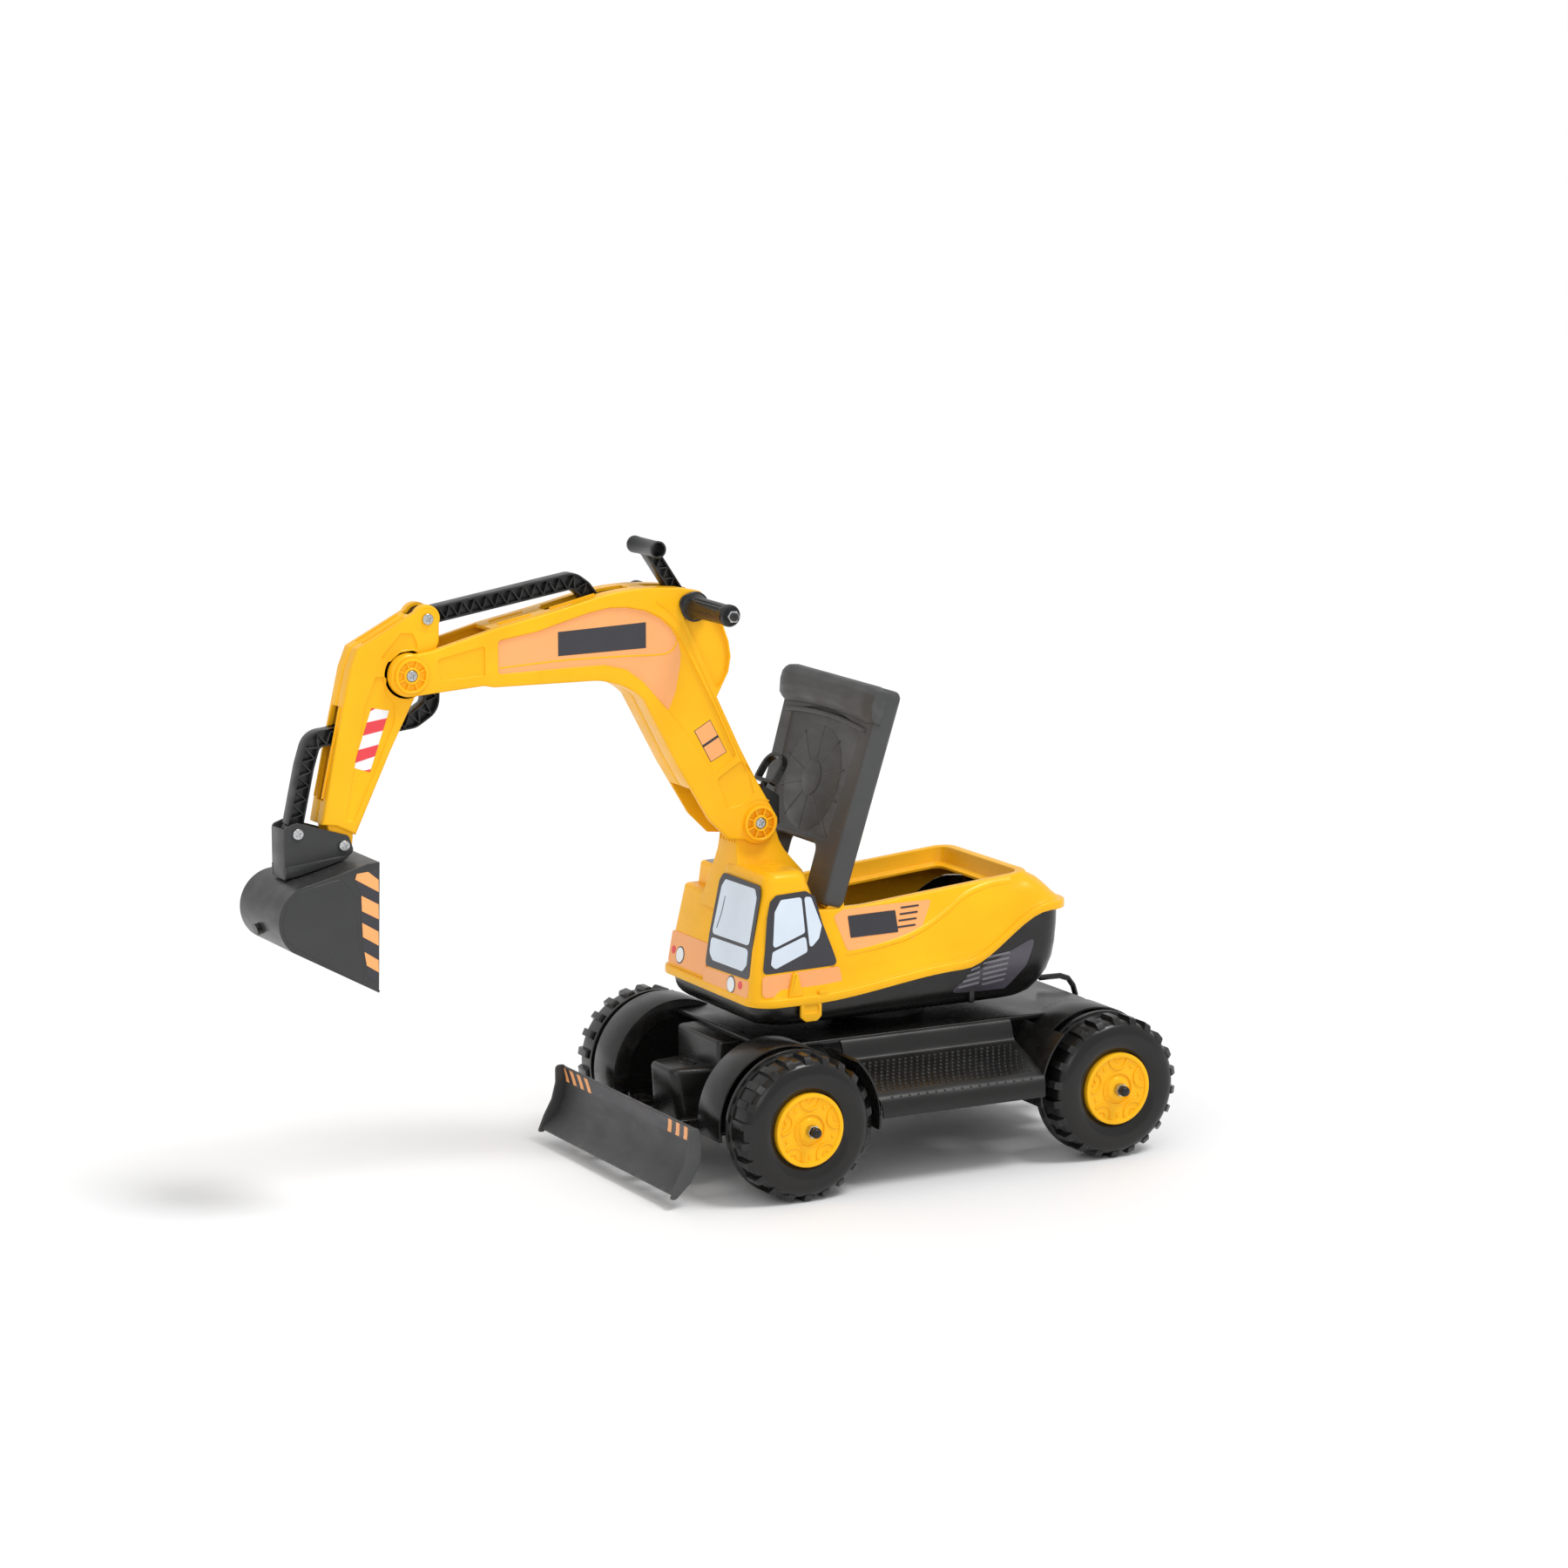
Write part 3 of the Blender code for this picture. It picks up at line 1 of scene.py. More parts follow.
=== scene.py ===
# Looks for the ride-on digger.  Pieces are drawn in machine coordinates, in metres: x from
# the centre plane with +X the digger's left, y from the front axle with the digger facing
# -Y, and z from the floor.

import math

import bmesh
import bpy
from mathutils import Matrix, Vector


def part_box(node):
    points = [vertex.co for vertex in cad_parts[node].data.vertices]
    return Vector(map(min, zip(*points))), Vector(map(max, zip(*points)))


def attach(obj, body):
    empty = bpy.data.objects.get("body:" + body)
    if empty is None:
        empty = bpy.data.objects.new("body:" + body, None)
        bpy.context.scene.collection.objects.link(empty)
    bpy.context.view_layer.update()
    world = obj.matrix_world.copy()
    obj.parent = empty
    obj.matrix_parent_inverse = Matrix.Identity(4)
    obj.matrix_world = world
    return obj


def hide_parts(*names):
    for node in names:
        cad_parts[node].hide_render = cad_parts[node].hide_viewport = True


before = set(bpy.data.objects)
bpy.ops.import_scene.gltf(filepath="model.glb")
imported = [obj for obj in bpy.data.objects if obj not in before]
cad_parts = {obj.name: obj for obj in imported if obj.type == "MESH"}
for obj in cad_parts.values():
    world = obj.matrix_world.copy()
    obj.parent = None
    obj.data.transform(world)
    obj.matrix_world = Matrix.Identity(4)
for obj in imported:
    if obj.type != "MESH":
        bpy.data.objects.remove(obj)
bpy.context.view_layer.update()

# ---------------------------------------------------------------- places, as on the CAD
AXLE_LOW, AXLE_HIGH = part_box("front_axle")
AXLE_Y = (AXLE_LOW.y + AXLE_HIGH.y) / 2
SIDES = {"left": 1, "right": -1}
AXLES = {"front": 0.0, "rear": 0.396}

WHEEL_RADIUS = 0.082
WHEEL_INNER_X = 0.166
HUB_RADIUS = 0.0414
LUGS = 22
WALL = 0.003
DECK_Z = 0.156
TUB_FLOOR_Z = 0.172
PIVOT_Y = 0.198
HITCH_Y = 0.4695

BODY_FRONT = -0.013
BODY_REAR = 0.3785
FLANGE_HALF = 0.1228
BODY_HALF = 0.1165
RIM_HALF = 0.095
SHELL = 0.0026

SEAT_HINGE = (0.1, 0.3015)
SEAT_OPEN = 73.5
SEAT_LENGTH = 0.246

BOOM_PIVOT = (0.034, 0.39)
ELBOW = (-0.3865, 0.587)
ROD_PIN = (-0.362, 0.645)
BUCKET_PIN = (-0.462, 0.4076)
LINK_PIN = (-0.5148, 0.4247)
ANCHOR = (-0.352, 0.573)
GRIP = (-0.047, 0.639)
CRANK_PIN = (-0.075, 0.56)
T_GRIP = (-0.0905, 0.704)
SEAM = 0.00015
BOOM_HALF = 0.029
BOSS_FACE = 0.0345
RECESS = BOSS_FACE - 0.004
TOWER_HALF = 0.0225
DIPPER_HALF = 0.0195
LINK_HALF = 0.0085
BRACKET_HALF = 0.018
BUCKET_HALF = 0.0565
BOLT_RADIUS = 0.0035
HEAD_RADIUS = 0.0062
HEAD_HEIGHT = 0.003


# ---------------------------------------------------------------- materials
def new_material(name):
    material = bpy.data.materials.new(name)
    material.use_nodes = True
    nodes = material.node_tree.nodes
    return material, nodes, material.node_tree.links, nodes["Principled BSDF"]


def noise(nodes, links, scale, detail=3.0, stretch=(1, 1, 1)):
    """Noise in the object's own coordinates; scale is in features per metre."""
    place = nodes.new("ShaderNodeTexCoord")
    mapping = nodes.new("ShaderNodeMapping")
    mapping.inputs["Scale"].default_value = stretch
    texture = nodes.new("ShaderNodeTexNoise")
    texture.inputs["Scale"].default_value = scale
    texture.inputs["Detail"].default_value = detail
    links.new(place.outputs["Object"], mapping.inputs["Vector"])
    links.new(mapping.outputs["Vector"], texture.inputs["Vector"])
    return texture.outputs["Fac"]


def ramp(nodes, links, source, stops):
    """A colour ramp from (position, colour) stops."""
    node = nodes.new("ShaderNodeValToRGB")
    elements = node.color_ramp.elements
    while len(elements) < len(stops):
        elements.new(0.5)
    for element, (position, colour) in zip(elements, stops):
        element.position = position
        element.color = (*colour, 1)
    links.new(source, node.inputs["Fac"])
    return node.outputs["Color"]


def spread(nodes, links, source, low, high):
    """Maps the middle of a noise to the range from low to high."""
    node = nodes.new("ShaderNodeMapRange")
    node.inputs["From Min"].default_value = 0.35
    node.inputs["From Max"].default_value = 0.65
    node.inputs["To Min"].default_value = low
    node.inputs["To Max"].default_value = high
    links.new(source, node.inputs["Value"])
    return node.outputs["Result"]


def plastic(name, colour, roughness, grain=0.1, grain_scale=1500.0, coat=0.0, metal=0.0,
            wear=0.25, variation=0.05, specular=0.5, sheen=(1.0, 1.0, 1.0)):
    """Moulding with faint cloudy colour, fine grain, scuffs and paler worn edges."""
    material, nodes, links, shader = new_material(name)
    shade = [tuple(min(1.0, c * k) for c in colour) for k in (1 - variation, 1 + variation)]
    cloud = noise(nodes, links, 14.0)
    base = ramp(nodes, links, cloud, [(0.35, shade[0]), (0.65, shade[1])])
    geometry = nodes.new("ShaderNodeNewGeometry")
    edge = ramp(nodes, links, geometry.outputs["Pointiness"], [(0.52, (0, 0, 0)), (0.6, (1, 1, 1))])
    patchy = ramp(nodes, links, noise(nodes, links, 55.0, 6.0), [(0.48, (0, 0, 0)), (0.66, (1, 1, 1))])
    worn = nodes.new("ShaderNodeMath")
    worn.operation = "MULTIPLY"
    links.new(edge, worn.inputs[0])
    links.new(patchy, worn.inputs[1])
    amount = nodes.new("ShaderNodeMath")
    amount.operation = "MULTIPLY"
    amount.inputs[1].default_value = wear
    links.new(worn.outputs[0], amount.inputs[0])
    mix = nodes.new("ShaderNodeMix")
    mix.data_type = "RGBA"
    mix.inputs[7].default_value = (*[c + (1 - c) * 0.35 for c in colour], 1)
    links.new(amount.outputs[0], mix.inputs["Factor"])
    links.new(base, mix.inputs[6])
    links.new(mix.outputs[2], shader.inputs["Base Color"])
    scuff = noise(nodes, links, 22.0, 8.0, (1.0, 1.0, 3.0))
    links.new(spread(nodes, links, scuff, roughness * 0.82, roughness * 1.22),
              shader.inputs["Roughness"])
    bump = nodes.new("ShaderNodeBump")
    bump.inputs["Strength"].default_value = grain
    bump.inputs["Distance"].default_value = 0.0003
    links.new(noise(nodes, links, grain_scale, 2.0), bump.inputs["Height"])
    links.new(bump.outputs["Normal"], shader.inputs["Normal"])
    shader.inputs["Metallic"].default_value = metal
    shader.inputs["Specular IOR Level"].default_value = specular
    shader.inputs["Specular Tint"].default_value = (*sheen, 1)
    shader.inputs["Coat Weight"].default_value = coat
    shader.inputs["Coat Roughness"].default_value = 0.08
    return material


YELLOW = plastic("yellow_moulding", (0.95, 0.475, 0.01), 0.3, 0.015, 900.0, coat=0.03, wear=0.02,
                 specular=0.34, sheen=(1.0, 0.8, 0.42))
BLACK = plastic("black_gloss_moulding", (0.007, 0.0066, 0.0062), 0.27, 0.08, wear=0.05, specular=0.42)
TYRE = plastic("black_tyre_moulding", (0.009, 0.0085, 0.0082), 0.22, 0.1, wear=0.08, specular=0.36)
ROD = plastic("black_rod_moulding", (0.013, 0.0135, 0.014), 0.3, 0.12, wear=0.1, specular=0.4)
GREY = plastic("dark_grey_moulding", (0.056, 0.057, 0.058), 0.46, 0.3, 1100.0, wear=0.1, specular=0.4)
BUCKET = plastic("bucket_moulding", (0.034, 0.0345, 0.035), 0.32, 0.14, wear=0.1, specular=0.4)
STEEL = plastic("zinc_plated_steel", (0.47, 0.48, 0.49), 0.26, 0.05, 700.0, metal=1.0, wear=0.1)
ORANGE = plastic("orange_decal", (0.93, 0.4, 0.135), 0.3, 0.03, 600.0, wear=0.0, variation=0.025)
DARK = plastic("dark_decal", (0.03, 0.029, 0.036), 0.3, 0.03, 600.0, wear=0.0)
GLASS = plastic("window_decal", (0.66, 0.74, 0.84), 0.22, 0.02, 600.0, wear=0.0, variation=0.05)
WHITE = plastic("white_decal", (0.86, 0.86, 0.87), 0.3, 0.03, 600.0, wear=0.0, variation=0.02)
RED = plastic("red_decal", (0.78, 0.045, 0.06), 0.3, 0.03, 600.0, wear=0.0)
VENT = plastic("vent_decal", (0.06, 0.055, 0.07), 0.28, 0.03, 600.0, wear=0.0, variation=0.3)
SLAT = plastic("slat_decal", (0.17, 0.165, 0.185), 0.3, 0.03, 600.0, wear=0.0)
PATCH = plastic("grey_patch", (0.3, 0.31, 0.33), 0.4, 0.08, wear=0.0)
LENS = plastic("lamp_decal", (0.8, 0.82, 0.84), 0.16, 0.02, 600.0, coat=0.5, wear=0.0)


# ---------------------------------------------------------------- outline helpers
def arc(centre, radius, start, end, steps=12):
    """Points of a circular arc in a plane, angles in degrees."""
    angles = [math.radians(start + (end - start) * i / steps) for i in range(steps + 1)]
    return [(centre[0] + radius * math.cos(a), centre[1] + radius * math.sin(a)) for a in angles]


def circle(centre, radius, steps=32):
    """Points of a full circle, the first one not repeated."""
    return arc(centre, radius, 0, 360, steps)[:-1]


def signed_area(points):
    """Twice the area; positive when the outline runs counter-clockwise."""
    pairs = zip(points, points[1:] + points[:1])
    return sum(a[0] * b[1] - b[0] * a[1] for a, b in pairs)


def normal(a, b):
    """Unit vector to the left of the run from a to b."""
    run = Vector((b[0] - a[0], b[1] - a[1])).normalized()
    return Vector((-run.y, run.x))


def mitre(before, here, after, distance):
    """The corner `here` moved sideways by `distance`, to the left of the path."""
    n1 = normal(before, here)
    n2 = normal(here, after)
    bisector = (n1 + n2).normalized()
    length = distance / max(0.35, bisector.dot(n1))
    return (here[0] + bisector.x * length, here[1] + bisector.y * length)


def inset(points, distance):
    """A closed outline moved inwards by `distance`."""
    sign = 1 if signed_area(points) > 0 else -1
    count = len(points)
    return [mitre(points[i - 1], points[i], points[(i + 1) % count], sign * distance)
            for i in range(count)]


def beside(path, distance):
    """An open path moved to its left by `distance`."""
    first = (2 * path[0][0] - path[1][0], 2 * path[0][1] - path[1][1])
    last = (2 * path[-1][0] - path[-2][0], 2 * path[-1][1] - path[-2][1])
    run = [first, *path, last]
    return [mitre(run[i], run[i + 1], run[i + 2], distance) for i in range(len(path))]


def ribbon(path, width):
    """The closed outline of a band of even width along an open path."""
    return beside(path, width / 2) + beside(path, -width / 2)[::-1]


def rounded(points, radius, steps=6, closed=True):
    """An outline or open path with its corners replaced by curves."""
    result = []
    count = len(points)
    for i in range(count):
        if not closed and i in (0, count - 1):
            result.append(tuple(points[i]))
            continue
        here = Vector(points[i])
        to_before = Vector(points[i - 1]) - here
        to_after = Vector(points[(i + 1) % count]) - here
        half = max(0.02, to_before.angle(to_after) / 2)
        run = min(radius / math.tan(half), 0.45 * to_before.length, 0.45 * to_after.length)
        start = here + to_before.normalized() * run
        end = here + to_after.normalized() * run
        for step in range(steps + 1):
            t = step / steps
            result.append(tuple(start * (1 - t) ** 2 + here * 2 * t * (1 - t) + end * t ** 2))
    return result


# ---------------------------------------------------------------- mesh helpers
def add_object(name, data):
    obj = bpy.data.objects.new(name, data)
    bpy.context.scene.collection.objects.link(obj)
    return obj


def mesh_from(name, bm):
    """The finished mesh; bm is used up."""
    mesh = bpy.data.meshes.new(name)
    bm.to_mesh(mesh)
    bm.free()
    return mesh


def across(u, v, h):
    """Outlines in (y, z), height along x."""
    return (h, u, v)


def upright(u, v, h):
    """Outlines in (x, y), height along z."""
    return (u, v, h)


def bridge(bm, lower, upper):
    """Quads between two closed rows of vertices."""
    for i in range(len(lower)):
        bm.faces.new((lower[i - 1], lower[i], upper[i], upper[i - 1]))


def skin(bm, rings, start_cap=True, end_cap=True):
    """Quads between rings of equal point counts, with flat caps."""
    rows = [[bm.verts.new(point) for point in ring] for ring in rings]
    for lower, upper in zip(rows, rows[1:]):
        bridge(bm, lower, upper)
    if start_cap:
        bm.faces.new(rows[0][::-1])
    if end_cap:
        bm.faces.new(rows[-1])
    return rows


def rim(edge, low, high, steps=3):
    """(margin, height) levels of a slab whose two rims are rounded by `edge`."""
    sign = math.copysign(1, high - low)
    quarter = [math.radians(90 * i / steps) for i in range(steps + 1)]
    start = [(edge * (1 - math.sin(a)), low + sign * edge * (1 - math.cos(a))) for a in quarter]
    end = [(edge * (1 - math.cos(a)), high - sign * edge * (1 - math.sin(a))) for a in quarter]
    return start + end


def ring_at(outline, margin, height, place):
    points = inset(outline, margin) if abs(margin) > 1e-7 else outline
    return [place(u, v, height) for u, v in points]


def solid(bm, outline, low, high, edge=0.0008, place=across, steps=3):
    """A slab of the outline from low to high with both rims rounded."""
    skin(bm, [ring_at(outline, m, h, place) for m, h in rim(edge, low, high, steps)])


def fill_between(bm, loops):
    """Flat faces inside the first loop of vertices and outside the others."""
    edges = []
    for loop in loops:
        for a, b in zip(loop, loop[1:] + loop[:1]):
            edges.append(bm.edges.get((a, b)) or bm.edges.new((a, b)))
    bmesh.ops.triangle_fill(bm, use_beauty=True, edges=edges)


def relief(bm, outline, low, high, edge, panels, place=across, back_panels=(), steps=3):
    """A slab whose far face has sunk panels, and whose near face may have them too.

    A panel is (outline, depth, fillet); a negative depth stands proud.
    """
    levels = rim(edge, low, high, steps)
    rows = skin(bm, [ring_at(outline, m, h, place) for m, h in levels], False, False)
    for row, level, group in ((rows[0], low, back_panels), (rows[-1], high, panels)):
        inward = math.copysign(1, high - low) * (1 if row is rows[0] else -1)
        loops = [row]
        for shape, depth, fillet in group:
            steps_down = [(0.0, 0.0), (fillet * 0.15, depth * 0.5), (fillet * 0.5, depth * 0.85),
                          (fillet, depth)]
            rings = [ring_at(shape, m, level + inward * d, place) for m, d in steps_down]
            loops.append(skin(bm, rings, False, True)[0])
        if len(loops) == 1:
            bm.faces.new(row)
        else:
            fill_between(bm, loops)


def lathe(bm, profile, centre, segments=48, closed=False, place=across):
    """A (radius, height) profile turned about an axis through centre.

    An open profile is capped at both ends; a closed one is a ring.
    """
    rows = [ring_at(circle(centre, radius, segments), 0.0, height, place) for radius, height in profile]
    made = skin(bm, rows, not closed, not closed)
    if closed:
        bridge(bm, made[-1], made[0])


def rib(bm, start, end, width, low, high, place=across, edge=0.0004):
    """A thin straight wall between two points of the drawing plane."""
    solid(bm, ribbon([start, end], width), low, high, edge, place, 2)


def box_ring(x, y, z, corner, shrink=0.0, steps=5):
    """A level rectangle with rounded corners, drawn in from the x and y ranges by shrink."""
    (x0, x1), (y0, y1) = x, y
    r = max(0.0006, corner - shrink)
    points = []
    for cx, cy, turn in ((x1, y1, 0), (x0, y1, 90), (x0, y0, 180), (x1, y0, 270)):
        px = cx - math.copysign(shrink + r, cx - (x0 + x1) / 2)
        py = cy - math.copysign(shrink + r, cy - (y0 + y1) / 2)
        points += arc((px, py), r, turn, turn + 90, steps)
    return [(u, v, z) for u, v in points]


def round_box(bm, levels, corner, crown, steps=6):
    """An upright block through levels (x range, y range, z); crown rounds its top edge."""
    rings = [box_ring(x, y, z, corner, 0.0, steps) for x, y, z in levels[:-1]]
    x, y, z = levels[-1]
    for i in range(7):
        a = math.radians(90 * i / 6)
        rings.append(box_ring(x, y, z - crown * (1 - math.sin(a)), corner,
                              crown * (1 - math.cos(a)), steps))
    skin(bm, rings)


def smooth_path(points, steps=6):
    """A Catmull-Rom curve through 2-D points."""
    run = [points[0], *points, points[-1]]
    result = []
    for i in range(len(points) - 1):
        p0, p1, p2, p3 = (Vector(p) for p in run[i:i + 4])
        for step in range(steps):
            t = step / steps
            result.append(tuple(0.5 * (2 * p1 + (p2 - p0) * t + (2 * p0 - 5 * p1 + 4 * p2 - p3) * t * t
                                       + (3 * p1 - p0 - 3 * p2 + p3) * t ** 3)))
    return result + [tuple(points[-1])]


def sticker(bm, outline, surface, lift=0.0004, cuts=()):
    """A thin sheet on a surface; surface(u, v, h) gives the point h above it.

    cuts are (0 or 1, value) lines across the sheet where the surface bends.
    """
    flat = bmesh.new()
    flat.faces.new([flat.verts.new((u, v, 0)) for u, v in outline])
    for axis, value in cuts:
        place, facing = [0, 0, 0], [0, 0, 0]
        place[axis] = value
        facing[axis] = 1
        bmesh.ops.bisect_plane(flat, geom=flat.verts[:] + flat.edges[:] + flat.faces[:],
                               plane_co=place, plane_no=facing)
    flat.normal_update()
    if sum(face.normal.z for face in flat.faces) < 0:
        bmesh.ops.reverse_faces(flat, faces=flat.faces)
    top = {v: bm.verts.new(surface(v.co.x, v.co.y, lift)) for v in flat.verts}
    low = {v: bm.verts.new(surface(v.co.x, v.co.y, -0.0004)) for v in flat.verts}
    for face in flat.faces:
        bm.faces.new([top[v] for v in face.verts])
        bm.faces.new([low[v] for v in face.verts][::-1])
    for edge in flat.edges:
        if edge.is_boundary:
            a, b = edge.verts
            bm.faces.new((top[a], top[b], low[b], low[a]))
    flat.free()


def carved(bm, boxes):
    """The closed mesh with boxes ((x, x), (y, y), (z, z)) cut out of it, one after the other."""
    bmesh.ops.recalc_face_normals(bm, faces=bm.faces)
    stock = add_object("stock", mesh_from("stock", bm))
    tools = []
    for ranges in boxes:
        tool = bmesh.new()
        for v in bmesh.ops.create_cube(tool, size=1.0)["verts"]:
            v.co = Vector([sum(r) / 2 + c * (max(r) - min(r)) for r, c in zip(ranges, v.co)])
        tools.append(add_object("tool", mesh_from("tool", tool)))
        modifier = stock.modifiers.new("cut", "BOOLEAN")
        modifier.operation = "DIFFERENCE"
        modifier.solver = "EXACT"
        modifier.object = tools[-1]
    graph = bpy.context.evaluated_depsgraph_get()
    graph.update()
    result = bmesh.new()
    result.from_mesh(stock.evaluated_get(graph).to_mesh())
    for obj in tools + [stock]:
        mesh = obj.data
        bpy.data.objects.remove(obj)
        bpy.data.meshes.remove(mesh)
    return result


def piece(name, bm, body, look, stands_for=(), smooth=32):
    """Turns the mesh into a named piece on a body, in place of CAD nodes."""
    bmesh.ops.recalc_face_normals(bm, faces=bm.faces)
    mesh = mesh_from(name, bm)
    obj = add_object(name, mesh)
    obj.location = (0, AXLE_Y, 0)
    mesh.materials.append(look)
    mesh.shade_smooth()
    mesh.set_sharp_from_angle(angle=math.radians(smooth))
    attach(obj, body)
    if stands_for:
        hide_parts(*stands_for)
    return obj


def mirrored(sign, place=across):
    """The same placing with x turned over for the right side."""
    def turned(u, v, h):
        x, y, z = place(u, v, h)
        return (sign * x, y, z)
    return turned


def soften(obj, width):
    """Rounds the sharp edges of a piece or CAD node without changing its mesh."""
    weld = obj.modifiers.new("weld", "WELD")
    weld.merge_threshold = 0.00001
    bevel = obj.modifiers.new("round", "BEVEL")
    bevel.width = width
    bevel.segments = 2
    bevel.limit_method = "ANGLE"
    bevel.angle_limit = math.radians(35)
    bevel.harden_normals = True


# ---------------------------------------------------------------- wheels
# A tread lug's section, as (radius, height from the wheel's inner face, half angle in degrees).
LUG_SECTION = ((0.0735, 0.0125, 4.0), (0.078, 0.013, 3.7), (0.0808, 0.0142, 3.2),
               (WHEEL_RADIUS, 0.016, 2.8), (WHEEL_RADIUS, 0.0345, 2.8), (0.0808, 0.038, 3.0),
               (0.078, 0.0402, 3.2), (0.0745, 0.0425, 3.4), (0.0705, 0.0415, 3.6))


def wheel(end, side):
    """A lugged tyre moulding and its yellow hub disc."""
    sign, y = SIDES[side], AXLES[end]
    name, body = f"{end}_{side}", f"{end}_{side}_wheel_body"
    centre = (y, WHEEL_RADIUS)

    def out(u, v, h):
        return (sign * (WHEEL_INNER_X + h), u, v)

    tyre = bmesh.new()
    shoulder = smooth_path([(0.077, 0.034), (0.0752, 0.039), (0.0715, 0.043), (0.065, 0.0458),
                            (0.057, 0.0464), (0.05, 0.0448), (HUB_RADIUS + 0.0012, 0.0405)], 4)
    inner = smooth_path([(0.041, 0.0345), (0.047, 0.0395), (0.057, 0.0425), (0.066, 0.042),
                         (0.0715, 0.039), (0.0735, 0.034)], 3)
    profile = [(0.005, 0.0), (0.0105, 0.0), (0.0105, 0.033), (0.035, 0.033)] + inner
    profile += [(0.0735, 0.0006), (0.0741, 0.0), (0.0814, 0.0), (WHEEL_RADIUS, 0.0006),
                (WHEEL_RADIUS, 0.004), (0.0814, 0.0048), (0.0785, 0.0052), (0.077, 0.0062)]
    profile += shoulder + [(HUB_RADIUS + 0.0012, 0.0362), (0.005, 0.0362)]
    lathe(tyre, profile, centre, 88, True, out)
    for i in range(LUGS):
        angle = 360 * (i + 0.5) / LUGS
        rings = []
        for radius, h, half in LUG_SECTION:
            rings.append([out(*arc(centre, radius, angle + a, angle + a + 1, 1)[0], h)
                          for a in (-half, half)])
        quads = [tyre.verts.new(p) for ring in rings for p in ring]
        for k in range(len(rings)):
            j = (k + 1) % len(rings)
            tyre.faces.new((quads[2 * k], quads[2 * k + 1], quads[2 * j + 1], quads[2 * j]))
        tyre.faces.new([quads[2 * k] for k in range(len(rings))])
        tyre.faces.new([quads[2 * k + 1] for k in range(len(rings))])
    obj = piece(name + "_tyre", tyre, body, TYRE, [name + "_wheel"])
    soften(obj, 0.0006)

    hub = bmesh.new()
    profile = [(0.0046, 0.0366), (0.0408, 0.0366), (HUB_RADIUS, 0.0372), (HUB_RADIUS, 0.0446),
               (0.0408, 0.0455), (0.0398, 0.0458), (0.0374, 0.0458), (0.0366, 0.0454), (0.0358, 0.0438),
               (0.0352, 0.0435), (0.015, 0.0435), (0.0142, 0.0439), (0.0128, 0.0463), (0.0118, 0.0469),
               (0.0046, 0.0469)]
    lathe(hub, profile, centre, 72, True, out)
    for i in range(5):
        angle = 90 + 72 * i
        foot = arc(centre, 0.0352, angle, angle + 1, 1)[0]
        bow = arc(foot, 0.0118, angle + 100, angle + 260, 14)
        solid(hub, ribbon(bow, 0.0018), 0.043, 0.0452, 0.0005, out, 2)
        bow = arc(foot, 0.004, angle + 100, angle + 260, 8)
        solid(hub, ribbon(bow, 0.0011), 0.043, 0.0447, 0.0004, out, 2)
        bump = arc(centre, 0.03, angle + 36, angle + 37, 1)[0]
        lathe(hub, [(0.0022, 0.043), (0.0021, 0.0442), (0.0015, 0.045), (0.0005, 0.0453)],
              bump, 16, False, out)
    lathe(hub, [(0.019, 0.043), (0.019, 0.0447), (0.0182, 0.0452), (0.0174, 0.0447), (0.0174, 0.043)],
          centre, 60, True, out)
    piece(name + "_hub", hub, body, YELLOW, [name + "_hub_cap"])


